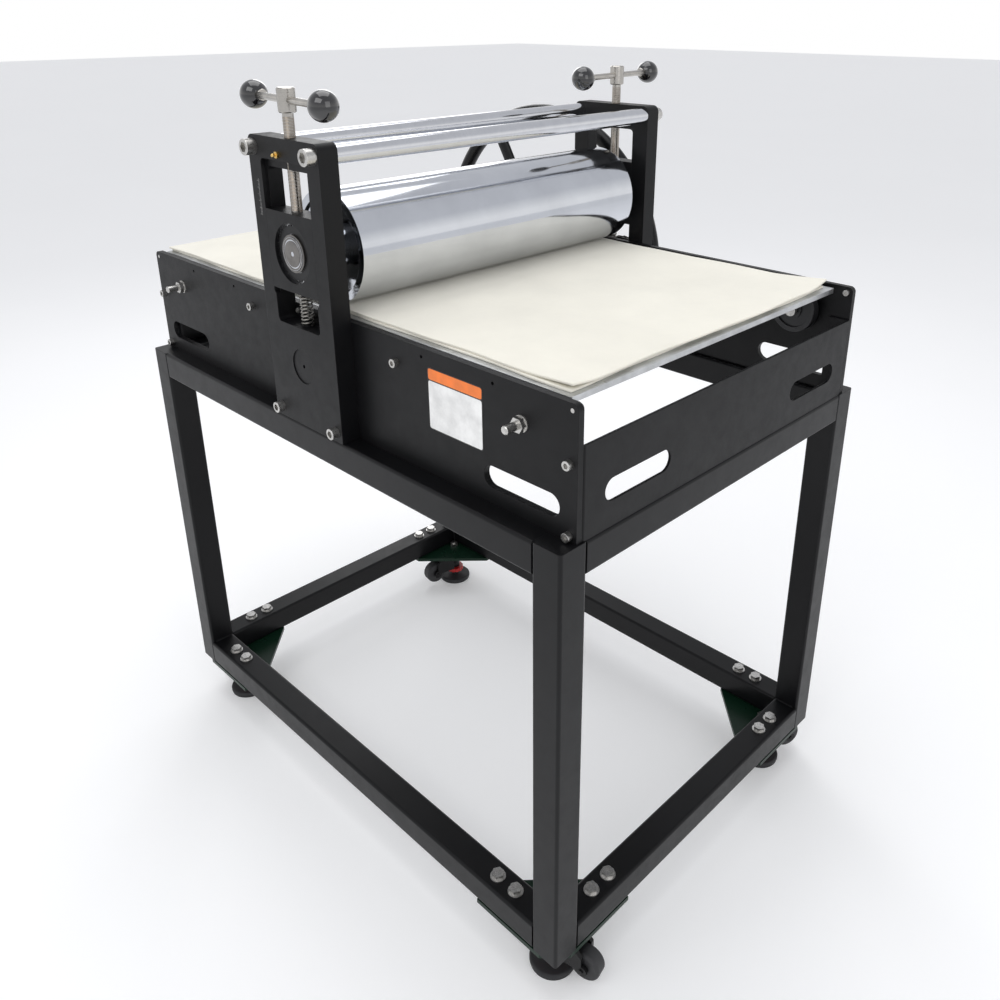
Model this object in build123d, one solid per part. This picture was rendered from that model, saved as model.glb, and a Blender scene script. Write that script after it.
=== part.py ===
"""Etching press on a welded stand with four levelling castors.

Millimetres, +Z up.  The bed travels along X, the rollers lie along Y and the
handwheel is on the +Y side.  Z = 0 is the floor under the castor pads and the
origin is under the middle of the whole machine's outline, so every piece is
drawn about the press's own mid plane and then moved by FRAME_SHIFT.
"""
from build123d import *
from math import asin, cos, degrees, pi, radians, sin, sqrt
import os

# ---------------------------------------------------------------- stand
TUBE = 50.0                    # square tube, outside
TUBE_WALL = 3.0
TUBE_CORNER = 5.0              # outside corner radius of the tube
STAND_LENGTH = 1080.0          # along X
STAND_WIDTH = 755.0            # along Y
STAND_HEIGHT = 728.0           # tube frame, bottom of lower rails to top of upper rails
GUSSET_THICKNESS = 8.0
GUSSET_LEG = 175.0             # along each rail from the corner
GUSSET_NOSE = 35.0             # cut off the outer corner
GUSSET_BOLT_NEAR = 110.0       # from the corner along the rail
GUSSET_BOLT_FAR = 150.0
GUSSET_BOLT_D = 12.0
GUSSET_UNDER_TUBE = 2.0        # the slanting edge starts this far inside the tubes' inner faces
CASTER_FROM_TUBE = 14.0        # swivel axis from the tubes, along both rails

# ---------------------------------------------------------------- castors
CASTER_HEIGHT = 90.0           # floor to the underside of the gusset, pad down
CASTER_STEM_D = 12.0
CASTER_NUT_AF = 19.0
CASTER_NUT_T = 7.0
CASTER_TOP_D = 54.0            # head of the housing
CASTER_TOP_GAP = 1.0           # turning gap between gusset and housing
CASTER_SPACER_D = 24.0
CASTER_HEAD_H = 14.0
PAD_D = 78.0
PAD_T = 12.0
PAD_RUBBER_T = 4.0
PAD_RUBBER_INSET = 1.0
PAD_ROUND = 4.0
PAD_STEM_D = 16.0
PAD_STEM_H = 34.0
PAD_RAISE = 12.0               # travel of the pad up from the floor
DIAL_D = 44.0
DIAL_T = 10.0
DIAL_GRIPS = 12                # finger hollows round the dial
DIAL_GRIP_R = 2.5
CASTER_WHEEL_D = 54.0
CASTER_WHEEL_W = 26.0
CASTER_WHEEL_LIFT = 12.0       # wheel clear of the floor while the pad carries the press
CASTER_TRAIL = 63.0            # swivel axis to wheel axis
CASTER_CHEEK_T = 7.0
CASTER_AXLE_D = 10.0
CASTER_CLEARANCE = 1.0
CASTER_WHEEL_ROUND = 5.0
CASTER_POST_WALL = 5.0         # sleeve round the pad's stem
STEM_CLEARANCE = 0.4           # pad stem in its sleeve
CASTER_HEADINGS = (12.0, 68.0, 260.0, 168.0)   # where each wheel trails, about Z

# ---------------------------------------------------------------- side and end plates
PLATE_T = 10.0                 # side plate
PLATE_ABOVE_BED = 3.95         # top edge of a side plate above the bed plate
PLATE_INSET = 3.0              # short of the stand at each end
PLATE_CORNER = 9.0
SLOT_LENGTH = 137.0
SLOT_HEIGHT = 33.0
SLOT_FROM_END = 100.0          # middle of a slot from the stand's end
SLOT_Z = 41.0                  # above the stand's top
END_SHEET_T = 4.0
END_SHEET_HEIGHT = 133.0
END_FLANGE = 36.0
END_SCREW_X = 16.0             # from the sheet's outer face
END_SCREW_Z = (8.5, 108.0)     # above the stand's top
END_SLOT_FROM_SIDE = 110.5     # middle of a slot from the side plate
END_SLOT_LENGTH = 137.0
END_SLOT_HEIGHT = 33.0
END_SLOT_Z = 54.0
GUIDE_HOLES_FROM_END = (290.0, 149.0)   # small tapped holes along the top edge
GUIDE_HOLE_D = 5.0
GUIDE_HOLE_DROP = 13.0
CORNER_SCREW_DROP = 9.5        # below the plate's top edge
CORNER_SCREW_FROM_END = 13.0
CROSS_BAR_X = 193.0
CROSS_BAR_RISE = 49.5          # above the lower roller's axis
CROSS_BAR_D = 18.0
CROSS_BAR_GRIP = 20.0          # screw length in a cross bar
WINDOW_SCREWS_X = (-47.0, -6.0)

# ---------------------------------------------------------------- uprights
UPRIGHT_T = 32.0
UPRIGHT_W = 181.0
UPRIGHT_HEAD = 44.0            # solid head above the window
UPRIGHT_CORNER = 12.0
WINDOW_W = 112.0
SPRING_ROOM = 54.05            # window below the bearing block
LIFT_ROOM = 61.45              # window above the bearing block
WINDOW_CORNER = 7.0
POCKET_W = 120.0
POCKET_DEPTH = 8.0
POCKET_RISE = 12.0             # pocket above the window's top
POCKET_DROP = 11.05            # pocket below the bearing block
TIE_BAR_X = 77.0
TIE_BAR_DROP = 17.5            # below the upright's top
TIE_BAR_D = 28.0
TIE_SCREW_D = 16.0
TIE_SCREW_GRIP = 30.0
FOOT_SCREW_X = 75.0
FOOT_SCREW_Z = 16.0
NIPPLE_X = -12.0
NIPPLE_DROP = 23.5
NIPPLE_D = 8.0
NIPPLE_SEAT = 8.0              # depth of its tapped hole

# ---------------------------------------------------------------- rollers and bed
LOWER_AXIS = 103.0             # above the stand's top
LOWER_D = 147.0
LOWER_WALL = 12.0
LOWER_END_GAP = 15.5           # roller body to side plate
LOWER_JOURNAL_D = 40.0
UPPER_D = 175.0
UPPER_WALL = 12.0
UPPER_END_GAP = 23.0
UPPER_JOURNAL_D = 50.0
UPPER_SHOULDER_D = 62.0
END_DISC_T = 20.0
END_DISC_RECESS = 4.0
BED_END_GAP = 20.0             # shorter than the stand at each end
BED_SIDE_GAP = 9.0             # bed to side plate
BED_T = 8.0
BED_OFFSET = -12.0             # middle of the bed along X where it is shown at rest
FELT_T = 3.85
FELT_END_GAP = 2.0             # inside the bed's ends
FELT_SIDE_GAP = 10.5
FELT_OFFSET = -18.0
ROLL_CLEARANCE = 0.05          # rolling surfaces against the bed
NIP_CLEARANCE = 0.3            # upper roller above the felt

# ---------------------------------------------------------------- bearings and blocks
BLOCK_H = 120.0
BLOCK_SLIDE = 0.1              # clearance of a block in its window, each side
FIT = 0.05                     # radial running clearance
UPPER_BEARING_OD = 90.0
UPPER_BEARING_W = 20.0
UPPER_BEARING_SET = 6.0        # behind the block's outer face
SHOULDER_ROOM = 4.0            # block's inner bore round the roller's shoulder
LOWER_BEARING_OD = 80.0
LOWER_BEARING_W = 18.0
RING_WALL = 6.0
CAP_D = 56.0
CAP_T = 6.0
CAP_RECESS = 1.5
CAP_HOLE_D = 6.0
BALL_COUNT = 12

# ---------------------------------------------------------------- pressure screws
SCREW_D = 16.0
SCREW_GAP = 0.1                # flank clearance in the crossbar
HUB_D = 26.0
HUB_H = 34.0
HUB_RISE = 51.0                # middle of the hub above the upright
HANDLE_D = 10.5
HANDLE_HALF = 117.0            # screw axis to ball centre
BALL_D = 42.0
NEAR_TURN = -8.6               # direction of each handle about Z
FAR_TURN = 98.0
SPRING_OD = 20.0
SPRING_WIRE = 3.0
HANDLE_IN_BALL = 12.0          # handle bar's end inside the ball, from its surface
SPRING_COILS = 9
SPRING_SEAT = 0.2              # clearance at each end of a spring
SPIGOT_D = 12.0
SPIGOT_H = 10.0

# ---------------------------------------------------------------- support wheels
SUPPORT_FROM_END = 97.0
SUPPORT_D = 80.0
SUPPORT_W = 18.0
SUPPORT_FACE_GAP = 4.0         # wheel to side plate
STUD_D = 12.0
STUD_OUT = 31.0                # beyond the outer face of the side plate
STUD_HEAD_D = 20.0
STUD_HEAD_T = 8.0
STUD_NUT_AF = 19.0
STUD_NUT_T = 10.0

# ---------------------------------------------------------------- handwheel drive
CHAIN_PITCH = 12.7
CHAIN_LINKS = 64
DRIVE_TEETH = 14
DRIVEN_TEETH = 35
CHAIN_ROLLER_D = 8.5
SPROCKET_T = 7.2
SPROCKET_Y = 396.0             # middle of the teeth, from the mid plane
CHAIN_PLATE_T = 2.5
CHAIN_PLATE_H = 11.0
CHAIN_SIDE_GAP = 0.6
WHEEL_RIM_R = 305.0            # middle of the rim
WHEEL_RIM_D = 30.0
WHEEL_Y = 427.0
WHEEL_HUB_D = 62.0
WHEEL_HUB_W = 38.0
WHEEL_SPOKES = 5
WHEEL_SPOKE_W = 30.0
WHEEL_SPOKE_T = 16.0
WHEEL_FIRST_SPOKE = 120.7      # degrees from +X towards +Z
SHAFT_D = 25.0
SHAFT_COLLAR = 3.0             # collar that keeps the shaft in its housing, on the radius
SHAFT_CAP = 4.0                # washer outside the handwheel's hub, on the radius and in thickness
HOUSING_FLANGE = 96.0
HOUSING_FLANGE_T = 12.0
HOUSING_BOSS_D = 60.0
HOUSING_LENGTH = 38.0
HOUSING_BOLT_HALF = 35.0

# ---------------------------------------------------------------- cap screws: thread, head, head height
CAP_M16 = (16.0, 24.0, 16.0)
CAP_M12 = (12.0, 18.0, 12.0)
CAP_M8 = (8.0, 13.0, 8.0)
CAP_M6 = (6.0, 10.0, 6.0)
CAP_M5 = (5.0, 8.5, 5.0)

# ---------------------------------------------------------------- places that follow from these
STAND_BOTTOM = CASTER_HEIGHT + GUSSET_THICKNESS
STAND_TOP = STAND_BOTTOM + STAND_HEIGHT
HALF_L = STAND_LENGTH / 2
HALF_W = STAND_WIDTH / 2
UPRIGHT_IN = HALF_W - UPRIGHT_T          # inner face of an upright = outer face of a side plate
PLATE_IN = UPRIGHT_IN - PLATE_T
CASTER_FROM_CORNER = TUBE + CASTER_FROM_TUBE
SLOT_X = HALF_L - SLOT_FROM_END
SUPPORT_X = HALF_L - SUPPORT_FROM_END
GUIDE_HOLES_X = [HALF_L - d for d in GUIDE_HOLES_FROM_END]
CORNER_SCREW_X = HALF_L - CORNER_SCREW_FROM_END
END_SLOT_Y = PLATE_IN - END_SLOT_FROM_SIDE
BED_LENGTH = STAND_LENGTH - 2 * BED_END_GAP
BED_WIDTH = 2 * (PLATE_IN - BED_SIDE_GAP)
FELT_LENGTH = BED_LENGTH - 2 * FELT_END_GAP
FELT_WIDTH = BED_WIDTH - 2 * FELT_SIDE_GAP
LOWER_LENGTH = 2 * (PLATE_IN - LOWER_END_GAP)
UPPER_LENGTH = 2 * (PLATE_IN - UPPER_END_GAP)
LOWER_Z = STAND_TOP + LOWER_AXIS
BED_BOTTOM = LOWER_Z + LOWER_D / 2 + ROLL_CLEARANCE
BED_TOP = BED_BOTTOM + BED_T
FELT_TOP = BED_TOP + 2 * FELT_T
UPPER_Z = FELT_TOP + NIP_CLEARANCE + UPPER_D / 2
BLOCK_BOTTOM = UPPER_Z - BLOCK_H / 2
BLOCK_TOP = UPPER_Z + BLOCK_H / 2
BLOCK_Y = UPRIGHT_IN + UPRIGHT_T / 2
WINDOW_BOTTOM = BLOCK_BOTTOM - SPRING_ROOM
WINDOW_TOP = BLOCK_TOP + LIFT_ROOM
POCKET_TOP = WINDOW_TOP + POCKET_RISE
POCKET_BOTTOM = BLOCK_BOTTOM - POCKET_DROP
UPRIGHT_TOP = WINDOW_TOP + UPRIGHT_HEAD
UPRIGHT_H = UPRIGHT_TOP - STAND_TOP
PLATE_TOP = BED_TOP + PLATE_ABOVE_BED
PLATE_HEIGHT = PLATE_TOP - STAND_TOP
WINDOW_SCREW_Z = (WINDOW_BOTTOM + PLATE_TOP) / 2
CROSS_BAR_Z = LOWER_Z + CROSS_BAR_RISE
SUPPORT_Z = BED_BOTTOM - ROLL_CLEARANCE - SUPPORT_D / 2
HUB_MID = UPRIGHT_TOP + HUB_RISE
DRIVE_R = CHAIN_PITCH / 2 / sin(pi / DRIVE_TEETH)
DRIVEN_R = CHAIN_PITCH / 2 / sin(pi / DRIVEN_TEETH)


def chain_centre_distance():
    """Shaft distance that makes the chain close on its whole number of links."""
    half_sum = (DRIVE_TEETH + DRIVEN_TEETH) / 2
    spread = (DRIVEN_TEETH - DRIVE_TEETH) / (2 * pi)
    free = CHAIN_LINKS - half_sum
    return CHAIN_PITCH / 4 * (free + sqrt(free * free - 8 * spread * spread))


SHAFT_X = -chain_centre_distance()

NEAR_REACH = UPRIGHT_IN + UPRIGHT_T / 2 + HANDLE_HALF * abs(sin(radians(NEAR_TURN))) + BALL_D / 2
FAR_REACH = UPRIGHT_IN + UPRIGHT_T / 2 + HANDLE_HALF * abs(sin(radians(FAR_TURN))) + BALL_D / 2
FRAME_SHIFT = (NEAR_REACH - FAR_REACH) / 2


# ---------------------------------------------------------------- helpers
def block(x0, x1, y0, y1, z0, z1):
    """Box between two corners."""
    size = (abs(x1 - x0), abs(y1 - y0), abs(z1 - z0))
    return Pos((x0 + x1) / 2, (y0 + y1) / 2, (z0 + z1) / 2) * Box(*size)


def rod_y(radius, y0, y1, x=0.0, z=0.0):
    """Round bar along Y."""
    return Pos(x, (y0 + y1) / 2, z) * Rot(90, 0, 0) * Cylinder(radius, abs(y1 - y0))


def rod_z(radius, z0, z1, x=0.0, y=0.0):
    """Round bar along Z."""
    return Pos(x, y, (z0 + z1) / 2) * Cylinder(radius, abs(z1 - z0))


def ring_y(outer, inner, y0, y1, x=0.0, z=0.0):
    """Plain ring along Y."""
    return rod_y(outer, y0, y1, x, z) - rod_y(inner, y0, y1, x, z)


def hex_z(across_flats, z0, z1, x=0.0, y=0.0):
    """Hexagonal prism along Z."""
    face = RegularPolygon(across_flats / 2, 6, major_radius=False)
    return Pos(x, y, z0) * extrude(face, z1 - z0)


def obround_y(length, height, y0, y1, x, z):
    """Obround bar along Y, long way along X."""
    face = SlotOverall(length, height)
    return Pos(x, y1, z) * Rot(90, 0, 0) * extrude(face, y1 - y0)


def obround_x(length, height, x0, x1, y, z):
    """Obround bar along X, long way along Y."""
    face = SlotOverall(length, height)
    return Pos(x0, y, z) * Rot(0, 90, 0) * Rot(0, 0, 90) * extrude(face, x1 - x0)


def mirror_y(shape):
    """The same piece on the other side of the mid plane."""
    return mirror(shape, about=Plane.XZ)


def cap_screw(spec, length, x, y, z, out):
    """Socket head cap screw along Y, head seat at y, head pointing towards out (+1 or -1)."""
    shank_d, head_d, head_h = spec
    socket = RegularPolygon(shank_d * 0.42, 6, major_radius=False)
    head = rod_y(head_d / 2, 0, head_h)
    rim = head.edges().filter_by(GeomType.CIRCLE).group_by(Axis.Y)[-1]
    head = fillet(rim, shank_d * 0.06)
    head -= Pos(0, head_h, 0) * Rot(90, 0, 0) * extrude(socket, head_h * 0.55)
    shank = rod_y(shank_d / 2, -length, 0)
    screw = head + shank
    if out < 0:
        screw = Rot(0, 0, 180) * screw
    return Pos(x, y, z) * screw


def write(name, solids):
    """One node: its solids moved into the machine's frame and written as STEP."""
    moved = [Pos(0, FRAME_SHIFT, 0) * solid for solid in solids]
    whole = moved[0] if len(moved) == 1 else Compound(children=moved)
    export_step(whole, os.path.join("parts", name + ".step"))


# ---------------------------------------------------------------- stand
def tube_along(length):
    """Square tube along Z from zero, with rounded corners."""
    outside = RectangleRounded(TUBE, TUBE, TUBE_CORNER)
    inside = Rectangle(TUBE - 2 * TUBE_WALL, TUBE - 2 * TUBE_WALL)
    return extrude(outside - inside, length)


def leg():
    """Leg tube, closed by the rails' plane at both ends with welded caps."""
    tube = Pos(0, 0, STAND_BOTTOM) * tube_along(STAND_HEIGHT)
    cap = TUBE - 2 * TUBE_WALL
    low = block(-cap / 2, cap / 2, -cap / 2, cap / 2, STAND_BOTTOM, STAND_BOTTOM + TUBE_WALL)
    high = block(-cap / 2, cap / 2, -cap / 2, cap / 2, STAND_TOP - TUBE_WALL, STAND_TOP)
    return tube + low + high


def stand():
    cx = HALF_L - TUBE / 2
    cy = HALF_W - TUBE / 2
    legs = [Pos(sx * cx, sy * cy, 0) * leg() for sx in (-1, 1) for sy in (-1, 1)]
    write("stand_legs", legs)
    long_rail = Rot(0, 90, 0) * tube_along(STAND_LENGTH - 2 * TUBE)
    cross_rail = Rot(90, 0, 0) * tube_along(STAND_WIDTH - 2 * TUBE)
    levels = {"stand_top_rails": STAND_TOP - TUBE / 2, "stand_bottom_rails": STAND_BOTTOM + TUBE / 2}
    for name, z in levels.items():
        rails = []
        for side in (-1, 1):
            long_one = Pos(-HALF_L + TUBE, side * cy, z) * long_rail
            cross_one = Pos(side * cx, HALF_W - TUBE, z) * cross_rail
            if name == "stand_bottom_rails":
                long_one -= gusset_bolt_holes()
                cross_one -= gusset_bolt_holes()
            rails.append(long_one)
            rails.append(cross_one)
        write(name, rails)


def gusset_bolt_places():
    """Bolt positions in one corner, measured inwards from the stand's outer corner."""
    middle = TUBE / 2
    along = (GUSSET_BOLT_NEAR, GUSSET_BOLT_FAR)
    return [(d, middle) for d in along] + [(middle, d) for d in along]


def in_corner(sx, sy, dx, dy):
    """From corner distances to the press's X and Y."""
    return sx * (HALF_L - dx), sy * (HALF_W - dy)


CORNERS = ((1, -1), (1, 1), (-1, 1), (-1, -1))


def gusset_bolt_holes():
    z0 = CASTER_HEIGHT - 1
    z1 = STAND_BOTTOM + TUBE + 1
    holes = []
    for sx, sy in CORNERS:
        for dx, dy in gusset_bolt_places():
            x, y = in_corner(sx, sy, dx, dy)
            holes.append(rod_z(GUSSET_BOLT_D / 2, z0, z1, x, y))
    return holes


def gussets():
    plates = []
    bolts = []
    leg_end = TUBE - GUSSET_UNDER_TUBE
    outline = [(GUSSET_NOSE, 0), (GUSSET_LEG, 0), (GUSSET_LEG, leg_end), (leg_end, GUSSET_LEG),
               (0, GUSSET_LEG), (0, GUSSET_NOSE)]
    for sx, sy in CORNERS:
        points = [in_corner(sx, sy, dx, dy) for dx, dy in outline]
        face = make_face(Polyline(points, close=True))
        plate = Pos(0, 0, CASTER_HEIGHT) * extrude(face, GUSSET_THICKNESS, dir=(0, 0, 1))
        x, y = in_corner(sx, sy, CASTER_FROM_CORNER, CASTER_FROM_CORNER)
        plate -= rod_z(CASTER_STEM_D / 2, CASTER_HEIGHT - 1, STAND_BOTTOM + 1, x, y)
        plate -= gusset_bolt_holes()
        plates.append(plate)
        for dx, dy in gusset_bolt_places():
            x, y = in_corner(sx, sy, dx, dy)
            bolts.append(hex_bolt(x, y))
    write("gusset_plates", plates)
    return bolts


def hex_bolt(x, y):
    """Flanged hex bolt on top of the lower rail, screwed into the gusset below."""
    z = STAND_BOTTOM + TUBE
    flange = rod_z(GUSSET_BOLT_D * 1.05, z, z + 2, x, y)
    head = hex_z(GUSSET_BOLT_D * 1.5, z + 2, z + 9, x, y)
    shank = rod_z(GUSSET_BOLT_D / 2, CASTER_HEIGHT, z, x, y)
    return flange + head + shank


# ---------------------------------------------------------------- castors
def caster(number, sx, sy, heading):
    """Levelling castor: swivelling housing, wheel, dial and rubber pad on a threaded stem."""
    x, y = in_corner(sx, sy, CASTER_FROM_CORNER, CASTER_FROM_CORNER)
    place = Pos(x, y, 0) * Rot(0, 0, heading)
    head_top = CASTER_HEIGHT - CASTER_TOP_GAP
    head_bottom = head_top - CASTER_HEAD_H
    wheel_r = CASTER_WHEEL_D / 2
    axle_z = wheel_r + CASTER_WHEEL_LIFT
    cheek_in = CASTER_WHEEL_W / 2 + CASTER_CLEARANCE
    cheek_out = cheek_in + CASTER_CHEEK_T
    post_r = PAD_STEM_D / 2 + CASTER_POST_WALL
    post_bore = PAD_STEM_D / 2 + STEM_CLEARANCE
    axle_r = CASTER_AXLE_D / 2 - 1

    housing = rod_z(CASTER_TOP_D / 2, head_bottom, head_top)
    bridge_end = CASTER_TRAIL - CASTER_AXLE_D
    housing += block(0, bridge_end, -cheek_out, cheek_out, head_bottom, head_top)
    for side in (-1, 1):
        y0 = side * cheek_in
        y1 = side * cheek_out
        cheek = block(post_r + CASTER_CLEARANCE, CASTER_TRAIL, y0, y1, axle_z, head_top)
        cheek += rod_y(CASTER_AXLE_D, min(y0, y1), max(y0, y1), CASTER_TRAIL, axle_z)
        cheek -= Pos(CASTER_TRAIL + 18, 0, head_top) * Rot(0, 45, 0) * Box(30, 2 * cheek_out + 2, 60)
        housing += cheek
    housing -= rod_y(wheel_r + CASTER_CLEARANCE, -cheek_in, cheek_in, CASTER_TRAIL, axle_z)
    post_top = head_bottom
    post_bottom = PAD_T + PAD_RAISE + DIAL_T + 2 * CASTER_CLEARANCE
    housing += ring_z(post_r, post_bore, post_bottom, post_top)
    bore_top = PAD_T + PAD_STEM_H + PAD_RAISE + CASTER_CLEARANCE
    housing -= rod_z(post_bore, post_bottom - 1, bore_top)
    housing -= rod_y(axle_r, -cheek_out - 1, cheek_out + 1, CASTER_TRAIL, axle_z)
    axle = rod_y(axle_r, -cheek_out - 2, cheek_out + 2, CASTER_TRAIL, axle_z)
    spacer = rod_z(CASTER_SPACER_D / 2, head_top, CASTER_HEIGHT)
    write("caster_housing_%d" % number, [place * housing, place * axle])

    wheel = rod_y(wheel_r, -CASTER_WHEEL_W / 2, CASTER_WHEEL_W / 2)
    rims = wheel.edges().filter_by(GeomType.CIRCLE)
    wheel = fillet(rims, CASTER_WHEEL_ROUND)
    wheel -= rod_y(axle_r + FIT, -CASTER_WHEEL_W, CASTER_WHEEL_W)
    write("caster_wheel_%d" % number, [place * Pos(CASTER_TRAIL, 0, axle_z) * wheel])

    pad = rod_z(PAD_D / 2, PAD_RUBBER_T, PAD_T)
    pad = fillet(pad.edges().filter_by(GeomType.CIRCLE).group_by(Axis.Z)[-1], PAD_ROUND)
    pad += rod_z(PAD_STEM_D / 2, PAD_T, PAD_T + PAD_STEM_H)
    rubber = rod_z(PAD_D / 2 - PAD_RUBBER_INSET, 0, PAD_RUBBER_T)
    write("leveling_pad_%d" % number, [place * pad, place * rubber])

    dial_z = PAD_T + PAD_RAISE + CASTER_CLEARANCE
    dial = rod_z(DIAL_D / 2, dial_z, dial_z + DIAL_T)
    for step in range(DIAL_GRIPS):
        grip = rod_z(DIAL_GRIP_R, dial_z - 1, dial_z + DIAL_T + 1, DIAL_D / 2 + DIAL_GRIP_R / 3)
        dial -= Rot(0, 0, step * 360 / DIAL_GRIPS) * grip
    dial -= rod_z(PAD_STEM_D / 2 + FIT, dial_z - 1, dial_z + DIAL_T + 1)
    write("leveling_dial_%d" % number, [place * dial])
    return place * spacer, place * caster_stem()


def ring_z(outer, inner, z0, z1):
    """Plain ring along Z."""
    return rod_z(outer, z0, z1) - rod_z(inner, z0 - 1, z1 + 1)


def caster_stem():
    """Nut and stud end that hold a castor in its gusset."""
    nut = hex_z(CASTER_NUT_AF, STAND_BOTTOM, STAND_BOTTOM + CASTER_NUT_T)
    stud = rod_z(CASTER_STEM_D / 2, CASTER_HEIGHT, STAND_BOTTOM + CASTER_NUT_T + 3)
    return nut + stud


def casters():
    """Four castors; returns the stems that hold them."""
    pivots = []
    for number, (corner, heading) in enumerate(zip(CORNERS, CASTER_HEADINGS), start=1):
        spacer, stem = caster(number, *corner, heading)
        pivots.append(spacer + stem)
    return pivots


# ---------------------------------------------------------------- side and end plates
def side_plate(side):
    """Side plate on the +Y side, or mirrored to the near side."""
    half = HALF_L - PLATE_INSET
    face = Pos(0, PLATE_HEIGHT / 2) * Rectangle(2 * half, PLATE_HEIGHT)
    top = face.vertices().group_by(Axis.Y)[-1]
    face = fillet(top, PLATE_CORNER)
    plate = Pos(0, UPRIGHT_IN, STAND_TOP) * Rot(90, 0, 0) * extrude(face, PLATE_T)
    y0 = PLATE_IN - 1
    y1 = UPRIGHT_IN + 1
    for sx in (-1, 1):
        plate -= obround_y(SLOT_LENGTH, SLOT_HEIGHT, y0, y1, sx * SLOT_X, STAND_TOP + SLOT_Z)
        plate -= rod_y(STUD_D / 2, y0, y1, sx * SUPPORT_X, SUPPORT_Z)
        plate -= rod_y(CAP_M8[0] / 2, y0, y1, sx * CROSS_BAR_X, CROSS_BAR_Z)
        plate -= rod_y(CAP_M6[0] / 2, y0, y1, sx * CORNER_SCREW_X, PLATE_TOP - CORNER_SCREW_DROP)
        for x in GUIDE_HOLES_X:
            plate -= rod_y(GUIDE_HOLE_D / 2, y0, y1, sx * x, PLATE_TOP - GUIDE_HOLE_DROP)
        for z in END_SCREW_Z:
            x = sx * (HALF_L - END_SCREW_X)
            plate -= rod_y(CAP_M8[0] / 2, y0, y1, x, STAND_TOP + z)
        plate -= rod_y(CAP_M12[0] / 2, y0, y1, sx * FOOT_SCREW_X, STAND_TOP + FOOT_SCREW_Z)
    plate -= rod_y(LOWER_BEARING_OD / 2, y0, y1, 0, LOWER_Z)
    for x in WINDOW_SCREWS_X:
        plate -= rod_y(CAP_M5[0] / 2, y0, y1, x, WINDOW_SCREW_Z)
    if side > 0:
        for dx in (-HOUSING_BOLT_HALF, HOUSING_BOLT_HALF):
            for dz in (-HOUSING_BOLT_HALF, HOUSING_BOLT_HALF):
                plate -= rod_y(CAP_M8[0] / 2, y0, y1, SHAFT_X + dx, LOWER_Z + dz)
        plate -= rod_y(SHAFT_D / 2 + SHAFT_COLLAR + 1, y0, y1, SHAFT_X, LOWER_Z)
        return plate
    return mirror_y(plate)


def end_sheet(side):
    """Bent sheet between the side plates at one end of the stand."""
    outer = HALF_L - PLATE_INSET + 1
    inner = outer - END_SHEET_T
    z1 = STAND_TOP + END_SHEET_HEIGHT
    sheet = block(inner, outer, -PLATE_IN, PLATE_IN, STAND_TOP, z1)
    for sy in (-1, 1):
        flange = block(outer - END_FLANGE, outer, sy * PLATE_IN, sy * (PLATE_IN - END_SHEET_T), STAND_TOP, z1)
        sheet += flange
    bends = sheet.edges().filter_by(Axis.Z).group_by(Axis.X)[-1]
    sheet = fillet(bends, END_SHEET_T * 0.9)
    for sy in (-1, 1):
        sheet -= obround_x(END_SLOT_LENGTH, END_SLOT_HEIGHT, inner - 1, outer + 1, sy * END_SLOT_Y,
                           STAND_TOP + END_SLOT_Z)
        for z in END_SCREW_Z:
            sheet -= rod_y(CAP_M8[0] / 2, sy * PLATE_IN - 6, sy * PLATE_IN + 6, HALF_L - END_SCREW_X, STAND_TOP + z)
    if side > 0:
        return sheet
    return mirror(sheet, about=Plane.YZ)


def cap_screws():
    """Socket screws of the side plates, end sheets, drive housing and the uprights' feet."""
    screws = []
    for side in (-1, 1):
        y = side * UPRIGHT_IN
        for sx in (-1, 1):
            for z in END_SCREW_Z:
                x = sx * (HALF_L - END_SCREW_X)
                screws.append(cap_screw(CAP_M8, PLATE_T + END_SHEET_T, x, y, STAND_TOP + z, side))
            screws.append(cap_screw(CAP_M8, PLATE_T + CROSS_BAR_GRIP, sx * CROSS_BAR_X, y, CROSS_BAR_Z, side))
            z = PLATE_TOP - CORNER_SCREW_DROP
            screws.append(cap_screw(CAP_M6, PLATE_T, sx * CORNER_SCREW_X, side * PLATE_IN, z, -side))
        for x in WINDOW_SCREWS_X:
            screws.append(cap_screw(CAP_M5, PLATE_T, x, y, WINDOW_SCREW_Z, side))
    for dx in (-HOUSING_BOLT_HALF, HOUSING_BOLT_HALF):
        for dz in (-HOUSING_BOLT_HALF, HOUSING_BOLT_HALF):
            y = UPRIGHT_IN + HOUSING_FLANGE_T
            length = HOUSING_FLANGE_T + PLATE_T
            screws.append(cap_screw(CAP_M8, length, SHAFT_X + dx, y, LOWER_Z + dz, 1))
    for side in (-1, 1):
        for sx in (-1, 1):
            z = STAND_TOP + FOOT_SCREW_Z
            screws.append(cap_screw(CAP_M12, UPRIGHT_T + PLATE_T, sx * FOOT_SCREW_X, side * HALF_W, z, side))
    write("cap_screws", screws)


def cross_bars():
    bars = []
    for sx in (-1, 1):
        z = CROSS_BAR_Z
        bar = rod_y(CROSS_BAR_D / 2, -PLATE_IN, PLATE_IN, sx * CROSS_BAR_X, z)
        for side in (-1, 1):
            bar -= rod_y(CAP_M8[0] / 2, side * PLATE_IN, side * (PLATE_IN - CROSS_BAR_GRIP), sx * CROSS_BAR_X, z)
        bars.append(bar)
    write("cross_bars", bars)


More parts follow.
